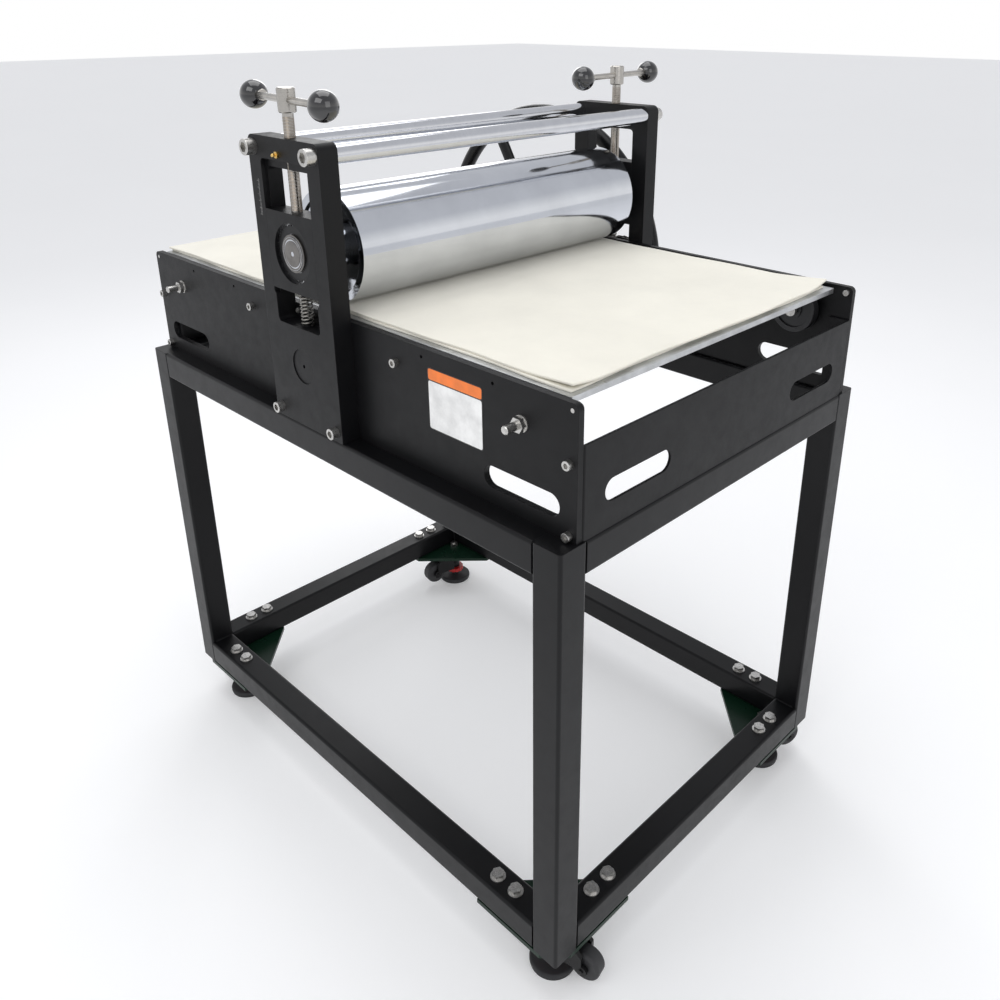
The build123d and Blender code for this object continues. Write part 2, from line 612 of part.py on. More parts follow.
# ---------------------------------------------------------------- uprights
def upright(side):
    """Upright on the +Y side, or mirrored to the near side."""
    face = Pos(0, UPRIGHT_H / 2) * Rectangle(UPRIGHT_W, UPRIGHT_H)
    top = face.vertices().group_by(Axis.Y)[-1]
    face = fillet(top, UPRIGHT_CORNER)
    window = Pos(0, (WINDOW_BOTTOM + WINDOW_TOP) / 2 - STAND_TOP) * RectangleRounded(
        WINDOW_W, WINDOW_TOP - WINDOW_BOTTOM, WINDOW_CORNER)
    body = Pos(0, HALF_W, STAND_TOP) * Rot(90, 0, 0) * extrude(face - window, UPRIGHT_T)
    pocket = Pos(0, (POCKET_BOTTOM + POCKET_TOP) / 2 - STAND_TOP) * RectangleRounded(
        POCKET_W, POCKET_TOP - POCKET_BOTTOM, WINDOW_CORNER)
    body -= Pos(0, HALF_W + 1, STAND_TOP) * Rot(90, 0, 0) * extrude(pocket, POCKET_DEPTH + 1)
    y0 = UPRIGHT_IN - 1
    y1 = HALF_W + 1
    body -= rod_y(CAP_D / 2, y0, y1, 0, LOWER_Z)
    body -= rod_y(LOWER_BEARING_OD / 2, y0, UPRIGHT_IN + LOWER_BEARING_W, 0, LOWER_Z)
    body -= rod_z(SCREW_D / 2 + SCREW_GAP, WINDOW_TOP - 1, UPRIGHT_TOP + 1, 0, BLOCK_Y)
    for sx in (-1, 1):
        body -= rod_y(TIE_SCREW_D / 2, y0, y1, sx * TIE_BAR_X, UPRIGHT_TOP - TIE_BAR_DROP)
        body -= rod_y(CAP_M12[0] / 2, y0, y1, sx * FOOT_SCREW_X, STAND_TOP + FOOT_SCREW_Z)
    body -= rod_y(NIPPLE_D / 2, HALF_W - NIPPLE_SEAT, y1, NIPPLE_X, UPRIGHT_TOP - NIPPLE_DROP)
    sill = WINDOW_BOTTOM
    body += rod_z(SPIGOT_D / 2, sill - 1, sill + SPIGOT_H, 0, BLOCK_Y)
    if side > 0:
        return body
    return mirror_y(body)


def tie_bars():
    bars = []
    screws = []
    z = UPRIGHT_TOP - TIE_BAR_DROP
    for sx in (-1, 1):
        bar = rod_y(TIE_BAR_D / 2, -UPRIGHT_IN, UPRIGHT_IN, sx * TIE_BAR_X, z)
        for side in (-1, 1):
            end = side * UPRIGHT_IN
            bar -= rod_y(TIE_SCREW_D / 2, end, end - side * TIE_SCREW_GRIP, sx * TIE_BAR_X, z)
            length = UPRIGHT_T + TIE_SCREW_GRIP
            screws.append(cap_screw(CAP_M16, length, sx * TIE_BAR_X, side * HALF_W, z, side))
        bars.append(bar)
    write("tie_bars", bars)
    write("tie_bar_screws", screws)


def grease_nipples():
    nipples = []
    for side in (-1, 1):
        z = UPRIGHT_TOP - NIPPLE_DROP
        body = rod_y(NIPPLE_D / 2, HALF_W - NIPPLE_SEAT, HALF_W, NIPPLE_X, z)
        body += Pos(NIPPLE_X, HALF_W, z) * Rot(-90, 0, 0) * extrude(
            RegularPolygon(4.5, 6, major_radius=False), 3.5)
        body += rod_y(2.2, HALF_W + 3.5, HALF_W + 7, NIPPLE_X, z)
        body += Pos(NIPPLE_X, HALF_W + 7.5, z) * Sphere(2.8)
        nipples.append(body if side > 0 else mirror_y(body))
    write("grease_nipples", nipples)


# ---------------------------------------------------------------- rollers
def roller(diameter, wall, length, journal_d, shoulder_d, near_end, far_end):
    """Tube with two welded end discs on journals, along Y about the origin."""
    radius = diameter / 2
    tube = ring_y(radius, radius - wall, -length / 2, length / 2)
    ends = []
    for side, tip in ((-1, near_end), (1, far_end)):
        out = side * (length / 2 - END_DISC_RECESS)
        inn = out - side * END_DISC_T
        disc = rod_y(radius - wall, min(out, inn), max(out, inn))
        shoulder = side * (UPRIGHT_IN - 2)
        disc += rod_y(shoulder_d / 2, min(out, shoulder), max(out, shoulder))
        disc += rod_y(journal_d / 2, min(shoulder, tip), max(shoulder, tip))
        ends.append(disc)
    return [tube] + ends


def lower_roller():
    near_tip = -(UPRIGHT_IN + LOWER_BEARING_W)
    far_tip = SPROCKET_Y + SPROCKET_T
    solids = roller(LOWER_D, LOWER_WALL, LOWER_LENGTH, LOWER_JOURNAL_D, LOWER_JOURNAL_D + 10, near_tip, far_tip)
    write("lower_roller", [Pos(0, 0, LOWER_Z) * solid for solid in solids])
    outer = []
    inner = []
    for side in (-1, 1):
        y0 = side * UPRIGHT_IN
        y1 = side * (UPRIGHT_IN + LOWER_BEARING_W)
        low, high = min(y0, y1), max(y0, y1)
        race_in, race_out = bearing_rings(LOWER_BEARING_OD, LOWER_JOURNAL_D, low, high)
        outer.extend(Pos(0, 0, LOWER_Z) * piece for piece in race_out)
        inner.append(Pos(0, 0, LOWER_Z) * race_in)
    write("lower_bearing_outers", outer)
    write("lower_bearing_inners", inner)
    cap_out = HALF_W - CAP_RECESS
    near_cap = rod_y(CAP_D / 2, -cap_out, -(cap_out - CAP_T), 0, LOWER_Z)
    near_cap -= rod_y(CAP_HOLE_D / 2, -cap_out - 1, -cap_out + CAP_T + 1, 0, LOWER_Z)
    far_cap = ring_y(CAP_D / 2, LOWER_JOURNAL_D / 2 + 1, cap_out - CAP_T, cap_out, 0, LOWER_Z)
    write("lower_bearing_caps", [near_cap, far_cap])


def bearing_rings(outer_d, bore_d, y0, y1):
    """Inner ring, and the outer ring with the row of balls inside it."""
    middle_y = (y0 + y1) / 2
    pitch_r = (outer_d + bore_d) / 4
    ball_r = (outer_d - bore_d) / 4 - RING_WALL - FIT
    inner = ring_y(bore_d / 2 + RING_WALL, bore_d / 2, y0, y1)
    outer = ring_y(outer_d / 2, outer_d / 2 - RING_WALL, y0, y1)
    balls = []
    for step in range(BALL_COUNT):
        angle = 2 * pi * step / BALL_COUNT
        balls.append(Pos(pitch_r * cos(angle), middle_y, pitch_r * sin(angle)) * Sphere(ball_r))
    return inner, [outer] + balls


def upper_roller():
    tip = HALF_W - 1.0
    solids = roller(UPPER_D, UPPER_WALL, UPPER_LENGTH, UPPER_JOURNAL_D, UPPER_SHOULDER_D, -tip, tip)
    write("upper_roller", [Pos(0, 0, UPPER_Z) * solid for solid in solids])
    blocks = []
    outer = []
    inner = []
    for side in (-1, 1):
        y_out = side * (HALF_W - UPPER_BEARING_SET)
        y_in = y_out - side * UPPER_BEARING_W
        low, high = min(y_out, y_in), max(y_out, y_in)
        race_in, race_out = bearing_rings(UPPER_BEARING_OD, UPPER_JOURNAL_D, low, high)
        outer.extend(Pos(0, 0, UPPER_Z) * piece for piece in race_out)
        inner.append(Pos(0, 0, UPPER_Z) * race_in)
        blocks.append(bearing_block(side))
    write("bearing_blocks", blocks)
    write("upper_bearing_outers", outer)
    write("upper_bearing_inners", inner)


def bearing_block(side):
    """Block that carries one upper bearing and slides up and down in its window."""
    half = WINDOW_W / 2 - BLOCK_SLIDE
    lip = POCKET_W / 2 - BLOCK_SLIDE
    face = HALF_W
    body = block(-half, half, UPRIGHT_IN, face, BLOCK_BOTTOM, BLOCK_TOP)
    body += block(-lip, lip, face - POCKET_DEPTH + BLOCK_SLIDE, face, BLOCK_BOTTOM, BLOCK_TOP)
    y_in = face - UPPER_BEARING_SET - UPPER_BEARING_W
    body -= rod_y(UPPER_BEARING_OD / 2, y_in, face + 1, 0, UPPER_Z)
    body -= rod_y(UPPER_SHOULDER_D / 2 + SHOULDER_ROOM, UPRIGHT_IN - 1, y_in + 1, 0, UPPER_Z)
    body += rod_z(SPIGOT_D / 2, BLOCK_BOTTOM - SPIGOT_H, BLOCK_BOTTOM + 1, 0, BLOCK_Y)
    if side > 0:
        return body
    return mirror_y(body)


# ---------------------------------------------------------------- bed
def bed():
    plate = block(BED_OFFSET - BED_LENGTH / 2, BED_OFFSET + BED_LENGTH / 2, -BED_WIDTH / 2, BED_WIDTH / 2,
                  BED_BOTTOM, BED_TOP)
    plate = chamfer(plate.edges().filter_by(Axis.Z), 2)
    write("bed_plate", [plate])
    for name, level in (("felt_lower", 0), ("felt_upper", 1)):
        x0 = FELT_OFFSET - FELT_LENGTH / 2
        z0 = BED_TOP + level * FELT_T
        felt = block(x0, x0 + FELT_LENGTH, -FELT_WIDTH / 2, FELT_WIDTH / 2, z0, z0 + FELT_T)
        write(name, [felt])


def support_wheels():
    for name, sx in (("support_wheels_rear", -1), ("support_wheels_front", 1)):
        pair = []
        for side in (-1, 1):
            y1 = PLATE_IN - SUPPORT_FACE_GAP
            wheel = rod_y(SUPPORT_D / 2, y1 - SUPPORT_W, y1)
            wheel = fillet(wheel.edges().filter_by(GeomType.CIRCLE), 1.5)
            wheel -= ring_y(SUPPORT_D / 2 - 9, STUD_HEAD_D / 2 + 6, y1 - SUPPORT_W - 1, y1 - SUPPORT_W + 3)
            wheel -= rod_y(STUD_D / 2 + FIT, y1 - SUPPORT_W - 1, y1 + 1)
            wheel = Pos(sx * SUPPORT_X, 0, SUPPORT_Z) * wheel
            pair.append(wheel if side > 0 else mirror_y(wheel))
        write(name, pair)
    studs = []
    nuts = []
    for sx in (-1, 1):
        for side in (-1, 1):
            inner = PLATE_IN - SUPPORT_FACE_GAP - SUPPORT_W - 0.5
            stud = rod_y(STUD_D / 2, inner, UPRIGHT_IN + STUD_OUT)
            stud = chamfer(stud.edges().filter_by(GeomType.CIRCLE).group_by(Axis.Y)[-1], 1.2)
            stud += rod_y(STUD_HEAD_D / 2, inner - STUD_HEAD_T, inner)
            stud += rod_y(STUD_HEAD_D / 2 - 1, PLATE_IN - SUPPORT_FACE_GAP + 0.5, PLATE_IN)
            face = RegularPolygon(STUD_NUT_AF / 2, 6, major_radius=False)
            nut = Pos(0, UPRIGHT_IN, 0) * Rot(-90, 0, 0) * extrude(face, STUD_NUT_T)
            nut += rod_y(STUD_NUT_AF / 2 + 2, UPRIGHT_IN, UPRIGHT_IN + 2)
            nut -= rod_y(STUD_D / 2, UPRIGHT_IN - 1, UPRIGHT_IN + STUD_NUT_T + 1)
            spot = Pos(sx * SUPPORT_X, 0, SUPPORT_Z)
            studs.append(spot * stud if side > 0 else mirror_y(spot * stud))
            nuts.append(spot * nut if side > 0 else mirror_y(spot * nut))
    write("wheel_axles", studs)
    write("wheel_axle_nuts", nuts)


# ---------------------------------------------------------------- pressure screws
def pressure_screw(name, side, turn):
    """Screw with its cross handle and two ball knobs."""
    y = side * BLOCK_Y
    spot = Pos(0, y, HUB_MID) * Rot(0, 0, turn)
    hub = rod_z(HUB_D / 2, -HUB_H / 2, HUB_H / 2)
    hub = chamfer(hub.edges().filter_by(GeomType.CIRCLE), 1.5)
    screw = hub + rod_z(SCREW_D / 2, BLOCK_TOP - HUB_MID, -HUB_H / 2)
    bore = Rot(0, 90, 0) * Cylinder(HANDLE_D / 2, HUB_D + 2)
    screw -= bore
    write("pressure_screw_" + name, [spot * screw])
    inset = BALL_D / 2 - HANDLE_IN_BALL
    bar = Rot(0, 90, 0) * Cylinder(HANDLE_D / 2, 2 * (HANDLE_HALF - inset))
    write("handle_bar_" + name, [spot * bar])
    knobs = []
    for end in (-1, 1):
        knob = Pos(end * HANDLE_HALF, 0, 0) * Sphere(BALL_D / 2)
        flat = end * (HANDLE_HALF - BALL_D / 2 + 1.2)
        knob -= block(min(flat, flat - end * 5), max(flat, flat - end * 5), -BALL_D, BALL_D, -BALL_D, BALL_D)
        reach = end * (HANDLE_HALF - inset)
        knob -= Pos((flat + reach) / 2, 0, 0) * Rot(0, 90, 0) * Cylinder(HANDLE_D / 2, abs(reach - flat))
        knobs.append(spot * knob)
    write("ball_knobs_" + name, knobs)


def lift_springs():
    """Coil springs that push the bearing blocks up against the screws."""
    low = WINDOW_BOTTOM + SPRING_WIRE / 2 + SPRING_SEAT
    high = BLOCK_BOTTOM - SPRING_WIRE / 2 - SPRING_SEAT
    radius = (SPRING_OD - SPRING_WIRE) / 2
    path = Helix(pitch=(high - low) / SPRING_COILS, height=high - low, radius=radius)
    start = path @ 0
    section = Plane(origin=start, z_dir=path % 0) * Circle(SPRING_WIRE / 2)
    coil = sweep(section, path=path, is_frenet=True)
    write("lift_springs", [Pos(0, side * BLOCK_Y, low) * coil for side in (-1, 1)])


# ---------------------------------------------------------------- handwheel drive
def sprocket(teeth, bore_d, hub_d, hub_y0, hub_y1):
    """Chain sprocket along Y with its tooth gaps, a gap at +X before turning."""
    pitch_r = CHAIN_PITCH / 2 / sin(pi / teeth)
    tip_r = pitch_r + CHAIN_ROLLER_D * 0.38
    half = SPROCKET_T / 2
    disc = rod_y(tip_r, -half, half)
    seat = CHAIN_ROLLER_D / 2 + 0.15
    gaps = []
    for step in range(teeth):
        angle = 2 * pi * step / teeth
        gaps.append(rod_y(seat, -half - 1, half + 1, pitch_r * cos(angle), pitch_r * sin(angle)))
        out_r = pitch_r + seat
        turned = Rot(0, -degrees(angle), 0) * Pos(out_r, 0, 0) * Box(2 * seat, SPROCKET_T + 2, 2 * seat * 1.08)
        gaps.append(turned)
    disc -= gaps
    disc += rod_y(hub_d / 2, hub_y0, hub_y1)
    disc -= rod_y(bore_d / 2, hub_y0 - 20, hub_y1 + 20)
    return disc


def handwheel_drive():
    drive = sprocket(DRIVE_TEETH, SHAFT_D, SHAFT_D + 12, -SPROCKET_T / 2, SPROCKET_T / 2 + 4)
    write("drive_sprocket", [Pos(SHAFT_X, SPROCKET_Y, LOWER_Z) * drive])
    driven = sprocket(DRIVEN_TEETH, LOWER_JOURNAL_D, LOWER_JOURNAL_D + 26, -SPROCKET_T / 2 - 8, SPROCKET_T / 2)
    write("driven_sprocket", [Pos(0, SPROCKET_Y, LOWER_Z) * driven])

    housing = block(SHAFT_X - HOUSING_FLANGE / 2, SHAFT_X + HOUSING_FLANGE / 2, UPRIGHT_IN,
                    UPRIGHT_IN + HOUSING_FLANGE_T, LOWER_Z - HOUSING_FLANGE / 2, LOWER_Z + HOUSING_FLANGE / 2)
    housing = fillet(housing.edges().filter_by(Axis.Y), 10)
    housing += rod_y(HOUSING_BOSS_D / 2, UPRIGHT_IN, UPRIGHT_IN + HOUSING_LENGTH, SHAFT_X, LOWER_Z)
    housing -= rod_y(SHAFT_D / 2 + FIT, UPRIGHT_IN - 1, UPRIGHT_IN + HOUSING_LENGTH + 1, SHAFT_X, LOWER_Z)
    for dx in (-HOUSING_BOLT_HALF, HOUSING_BOLT_HALF):
        for dz in (-HOUSING_BOLT_HALF, HOUSING_BOLT_HALF):
            housing -= rod_y(CAP_M8[0] / 2, UPRIGHT_IN - 1, UPRIGHT_IN + HOUSING_FLANGE_T + 1,
                             SHAFT_X + dx, LOWER_Z + dz)
    write("drive_housing", [housing])

    hub_out = WHEEL_Y + WHEEL_HUB_W / 2
    shaft = rod_y(SHAFT_D / 2, PLATE_IN + 2, hub_out, SHAFT_X, LOWER_Z)
    shaft += rod_y(SHAFT_D / 2 + SHAFT_COLLAR, PLATE_IN + 2, UPRIGHT_IN - 0.5, SHAFT_X, LOWER_Z)
    shaft += rod_y(SHAFT_D / 2 + SHAFT_CAP, hub_out, hub_out + SHAFT_CAP, SHAFT_X, LOWER_Z)
    write("handwheel_shaft", [shaft])
    write("handwheel", [Pos(SHAFT_X, WHEEL_Y, LOWER_Z) * handwheel()])
    write("drive_chain", [chain_side(side) for side in (-1, 1)])


def handwheel():
    """Spoked cast handwheel along Y about the origin."""
    wheel = Rot(90, 0, 0) * Torus(WHEEL_RIM_R, WHEEL_RIM_D / 2)
    wheel += rod_y(WHEEL_HUB_D / 2, -WHEEL_HUB_W / 2, WHEEL_HUB_W / 2)
    reach = WHEEL_RIM_R - WHEEL_HUB_D / 4
    for step in range(WHEEL_SPOKES):
        angle = WHEEL_FIRST_SPOKE + step * 360 / WHEEL_SPOKES
        section = Ellipse(WHEEL_SPOKE_W / 2, WHEEL_SPOKE_T / 2)
        spoke = Rot(0, 90, 0) * Rot(0, 0, 90) * extrude(section, reach)
        spoke = Pos(WHEEL_HUB_D / 4, 0, 0) * Rot(90, 0, 0) * spoke
        wheel += Rot(0, -angle, 0) * spoke
    wheel -= rod_y(SHAFT_D / 2, -WHEEL_HUB_W, WHEEL_HUB_W)
    return wheel


def chain_side(side):
    """One row of the chain's link plates as a closed band round both sprockets."""
    distance = -SHAFT_X
    lean = asin((DRIVEN_R - DRIVE_R) / distance)
    half = CHAIN_PLATE_H / 2

    def loop(offset):
        big = DRIVEN_R + offset
        small = DRIVE_R + offset
        up = (sin(lean), cos(lean))
        big_top = (-big * up[0], big * up[1])
        big_low = (-big * up[0], -big * up[1])
        small_top = (SHAFT_X - small * up[0], small * up[1])
        small_low = (SHAFT_X - small * up[0], -small * up[1])
        edges = [
            Line(big_top, small_top),
            ThreePointArc(small_top, (SHAFT_X - small, 0), small_low),
            Line(small_low, big_low),
            ThreePointArc(big_low, (big, 0), big_top),
        ]
        return make_face(Wire(edges))

    band = loop(half) - loop(-half)
    start = SPROCKET_T / 2 + CHAIN_SIDE_GAP
    y0 = SPROCKET_Y + side * start
    y1 = y0 + side * CHAIN_PLATE_T
    return Pos(0, max(y0, y1), LOWER_Z) * Rot(90, 0, 0) * extrude(band, CHAIN_PLATE_T)


# ---------------------------------------------------------------- all of it
def main():
    os.makedirs("parts", exist_ok=True)
    stand()
    fasteners = gussets()
    write("gusset_bolts", fasteners + casters())
    write("side_plate_near", [side_plate(-1)])
    write("side_plate_far", [side_plate(1)])
    write("end_plate_front", [end_sheet(1)])
    write("end_plate_rear", [end_sheet(-1)])
    cap_screws()
    cross_bars()
    write("upright_near", [upright(-1)])
    write("upright_far", [upright(1)])
    tie_bars()
    grease_nipples()
    lower_roller()
    upper_roller()
    bed()
    support_wheels()
    pressure_screw("near", -1, NEAR_TURN)
    pressure_screw("far", 1, FAR_TURN)
    lift_springs()
    handwheel_drive()


main()
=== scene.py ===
import math
import random

import bmesh
import bpy
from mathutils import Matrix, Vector


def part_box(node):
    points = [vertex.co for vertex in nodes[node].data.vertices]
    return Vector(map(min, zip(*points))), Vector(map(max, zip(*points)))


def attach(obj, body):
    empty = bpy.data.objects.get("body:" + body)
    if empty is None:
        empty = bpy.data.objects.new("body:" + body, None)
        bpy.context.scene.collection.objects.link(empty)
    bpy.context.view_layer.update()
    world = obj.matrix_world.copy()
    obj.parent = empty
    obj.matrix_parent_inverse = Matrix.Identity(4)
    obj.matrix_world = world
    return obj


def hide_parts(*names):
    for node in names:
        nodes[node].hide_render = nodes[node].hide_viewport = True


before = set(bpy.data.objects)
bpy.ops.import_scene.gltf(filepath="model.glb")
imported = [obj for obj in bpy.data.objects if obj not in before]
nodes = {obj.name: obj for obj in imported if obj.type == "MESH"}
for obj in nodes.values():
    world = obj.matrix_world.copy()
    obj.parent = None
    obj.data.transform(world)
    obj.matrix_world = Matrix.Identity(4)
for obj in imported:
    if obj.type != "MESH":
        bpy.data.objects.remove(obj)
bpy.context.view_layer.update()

# ---------------------------------------------------------------- places read from the frame
UPPER_LOW, UPPER_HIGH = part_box("upper_roller")
UPPER_AXIS = (UPPER_LOW + UPPER_HIGH) / 2
NEAR_FACE_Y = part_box("upright_near")[0].y
FAR_FACE_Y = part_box("upright_far")[1].y
MID_Y = (NEAR_FACE_Y + FAR_FACE_Y) / 2
PLATE_FACE_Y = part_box("side_plate_near")[0].y
STAND_LOW, STAND_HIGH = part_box("stand_legs")
WHEEL_LOW, WHEEL_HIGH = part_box("handwheel")
WHEEL_AXIS_X = (WHEEL_LOW.x + WHEEL_HIGH.x) / 2
WHEEL_AXIS_Z = (WHEEL_LOW.z + WHEEL_HIGH.z) / 2
TUBE = 0.050                   # square tube, outside
HANDLE_REACH = 0.117           # middle of a handle bar to a ball's centre
HUB_HEIGHT = 0.034
JOURNAL_RADIUS = 0.0249


# ---------------------------------------------------------------- material building
class Finish:
    """A procedural finish on the piece's own Object coordinates."""

    def __init__(self, name, roughness=0.5, metallic=0.0, **sockets):
        self.mat = bpy.data.materials.new(name)
        self.mat.use_nodes = True
        self.tree = self.mat.node_tree
        self.shader = self.tree.nodes["Principled BSDF"]
        self.shader.inputs["Roughness"].default_value = roughness
        self.shader.inputs["Metallic"].default_value = metallic
        for socket, value in sockets.items():
            self.shader.inputs[socket.replace("_", " ")].default_value = value
        self.where = self.add("ShaderNodeTexCoord").outputs["Object"]

    def add(self, kind, **settings):
        node = self.tree.nodes.new(kind)
        for key, value in settings.items():
            setattr(node, key, value)
        return node

    def link(self, a, b):
        self.tree.links.new(a, b)

    def stretched(self, scale):
        """Object coordinates stretched along the axes."""
        node = self.add("ShaderNodeMapping")
        node.inputs["Scale"].default_value = scale
        self.link(self.where, node.inputs["Vector"])
        return node.outputs["Vector"]

    def noise(self, scale, detail=3.0, rough=0.55, stretch=None):
        node = self.add("ShaderNodeTexNoise")
        node.inputs["Scale"].default_value = scale
        node.inputs["Detail"].default_value = detail
        node.inputs["Roughness"].default_value = rough
        self.link(self.stretched(stretch) if stretch else self.where, node.inputs["Vector"])
        return node.outputs["Fac"]

    def ramp(self, value, stops):
        """Colours at places along a value."""
        node = self.add("ShaderNodeValToRGB")
        while len(node.color_ramp.elements) < len(stops):
            node.color_ramp.elements.new(0.5)
        for element, (place, colour) in zip(node.color_ramp.elements, stops):
            element.position = place
            element.color = (*colour, 1.0)
        self.link(value, node.inputs["Fac"])
        return node.outputs["Color"]

    def spread(self, value, low, high, start=0.3, end=0.7):
        """The value's middle stretch mapped on low to high."""
        node = self.add("ShaderNodeMapRange")
        for socket, number in (("From Min", start), ("From Max", end), ("To Min", low), ("To Max", high)):
            node.inputs[socket].default_value = number
        self.link(value, node.inputs["Value"])
        return node.outputs["Result"]

    def mottle(self, value, colour, amount):
        """Base colour that varies about one colour."""
        dark = [c * (1 - amount) for c in colour]
        light = [min(1.0, c * (1 + amount)) for c in colour]
        self.link(self.ramp(value, [(0.3, dark), (0.7, light)]), self.shader.inputs["Base Color"])

    def roughen(self, value, low, high):
        self.link(self.spread(value, low, high), self.shader.inputs["Roughness"])

    def bump(self, layers, edge=0.0):
        """Bump layers of (value, strength, distance in metres), over edges rounded by a radius."""
        normal = None
        if edge:
            rounded = self.add("ShaderNodeBevel", samples=4)
            rounded.inputs["Radius"].default_value = edge
            normal = rounded.outputs["Normal"]
        for value, strength, distance in layers:
            node = self.add("ShaderNodeBump")
            node.inputs["Strength"].default_value = strength
            node.inputs["Distance"].default_value = distance
            self.link(value, node.inputs["Height"])
            if normal:
                self.link(normal, node.inputs["Normal"])
            normal = node.outputs["Normal"]
        self.link(normal, self.shader.inputs["Normal"])


def powder_coat(name, colour, rough, grain, depth, edge):
    """Baked powder paint: pebbled skin, faint scuffs and softened edges."""
    f = Finish(name, rough, Specular_IOR_Level=0.22)
    cloud = f.noise(9.0, 4.0)
    skin = f.noise(grain, 2.0)
    scuff = f.noise(38.0, 6.0, 0.7)
    f.mottle(cloud, colour, 0.16)
    f.roughen(scuff, rough - 0.05, rough + 0.07)
    f.bump([(skin, 0.5, depth), (cloud, 0.12, 0.0006)], edge)
    return f.mat


def turned_metal(name, colour, rough, axis, edge=0.0003, tarnish=0.12):
    """Metal turned on a lathe: fine rings across the axis and a little tarnish."""
    f = Finish(name, rough, 1.0)
    stretch = [6.0, 6.0, 6.0]
    stretch["XYZ".index(axis)] = 900.0
    rings = f.noise(1.0, 2.0, stretch=stretch)
    stain = f.noise(55.0, 5.0, 0.65)
    f.mottle(stain, colour, tarnish)
    f.roughen(rings, rough * 0.75, rough * 1.35)
    f.bump([(rings, 0.15, 0.00002)], edge)
    return f.mat


def plated(name, colour, rough):
    """Zinc plate and bright fasteners."""
    f = Finish(name, rough, 1.0)
    stain = f.noise(160.0, 5.0, 0.6)
    fine = f.noise(1300.0, 2.0)
    f.mottle(stain, colour, 0.2)
    f.roughen(fine, rough - 0.08, rough + 0.14)
    f.bump([(fine, 0.12, 0.00003)], 0.0004)
    return f.mat


def chromed(name):
    """Hard chrome on a ground roller: mirror bright with faint lengthwise streaks."""
    f = Finish(name, 0.09, 1.0)
    rings = f.noise(1.0, 3.0, stretch=(3.0, 700.0, 3.0))
    streaks = f.noise(1.0, 4.0, 0.6, stretch=(130.0, 1.2, 130.0))
    haze = f.noise(14.0, 4.0)
    f.mottle(haze, (0.63, 0.65, 0.69), 0.05)
    f.roughen(streaks, 0.07, 0.13)
    f.bump([(rings, 0.06, 0.00002), (streaks, 0.06, 0.00006)], 0.0004)
    return f.mat


def ground_steel(name):
    """Bed plate: rolled and ground, mottled by the mill."""
    f = Finish(name, 0.36, 1.0)
    cloud = f.noise(24.0, 6.0, 0.65)
    lines = f.noise(1.0, 3.0, stretch=(8.0, 260.0, 260.0))
    f.mottle(cloud, (0.56, 0.57, 0.58), 0.18)
    f.roughen(lines, 0.27, 0.46)
    f.bump([(lines, 0.12, 0.00003), (cloud, 0.1, 0.0001)], 0.0006)
    return f.mat


def black_metal(name, colour, rough):
    """Blackened steel: dark, oiled, slightly worn at the edges."""
    f = Finish(name, rough, 0.85)
    stain = f.noise(70.0, 5.0, 0.6)
    f.mottle(stain, colour, 0.3)
    f.roughen(stain, rough - 0.06, rough + 0.12)
    f.bump([(f.noise(900.0, 2.0), 0.15, 0.00004)], 0.0004)
    return f.mat


def moulded(name, colour, rough, coat=0.0, grain=700.0, depth=0.00003):
    """Moulded plastic or rubber."""
    f = Finish(name, rough, 0.0, Coat_Weight=coat, Coat_Roughness=0.03)
    cloud = f.noise(45.0, 4.0)
    skin = f.noise(grain, 3.0)
    f.mottle(cloud, colour, 0.14)
    f.roughen(cloud, rough * 0.85, rough * 1.2)
    f.bump([(skin, 0.2, depth)], 0.0006)
    return f.mat


def wool_felt(name):
    """Pressed wool: cream, matted fibres, soft hollows and a few darker hairs."""
    f = Finish(name, 0.95, 0.0, Sheen_Weight=0.35, Sheen_Roughness=0.6)
    cloud = f.noise(7.0, 5.0, 0.6)
    mat = f.noise(260.0, 6.0, 0.75)
    hairs = f.noise(1.0, 4.0, 0.7, stretch=(420.0, 1500.0, 800.0))
    f.mottle(cloud, (0.80, 0.77, 0.67), 0.05)
    f.bump([(mat, 0.55, 0.0006), (hairs, 0.35, 0.0003), (cloud, 0.35, 0.004)])
    return f.mat


STAND_PAINT = powder_coat("stand_powder_coat", (0.0045, 0.0045, 0.0052), 0.34, 650.0, 0.00012, 0.0012)
PLATE_PAINT = powder_coat("plate_powder_coat", (0.0045, 0.0045, 0.0052), 0.42, 900.0, 0.00022, 0.0010)
GREEN_PAINT = powder_coat("gusset_enamel", (0.004, 0.019, 0.010), 0.30, 500.0, 0.00008, 0.0010)
CASTING_PAINT = powder_coat("cast_iron_enamel", (0.0045, 0.0045, 0.0052), 0.28, 220.0, 0.00022, 0.0012)
HOUSING_PAINT = powder_coat("castor_enamel", (0.0055, 0.0055, 0.0060), 0.30, 420.0, 0.00010, 0.0010)
ZINC = plated("bright_zinc", (0.56, 0.55, 0.53), 0.27)
BRASS = plated("turned_brass", (0.72, 0.50, 0.18), 0.24)
BEARING_STEEL = turned_metal("bearing_steel", (0.42, 0.42, 0.43), 0.22, "Y", 0.0004)
BLACK_STEEL = black_metal("blackened_steel", (0.05, 0.05, 0.055), 0.38)
CHROME = chromed("hard_chrome")
BAR_CHROME = turned_metal("drawn_bar_chrome", (0.64, 0.65, 0.68), 0.10, "Y", tarnish=0.04)
STAINLESS = turned_metal("turned_stainless", (0.46, 0.44, 0.41), 0.24, "Z")
ROLLER_STEEL = turned_metal("turned_roller_steel", (0.50, 0.50, 0.51), 0.26, "Y")
BED_STEEL = ground_steel("ground_bed_steel")
FELT = wool_felt("pressed_wool_felt")
PHENOLIC = moulded("polished_phenolic", (0.006, 0.006, 0.007), 0.10, coat=1.0, grain=90.0, depth=0.00002)
TREAD = moulded("castor_tread", (0.024, 0.024, 0.026), 0.58)
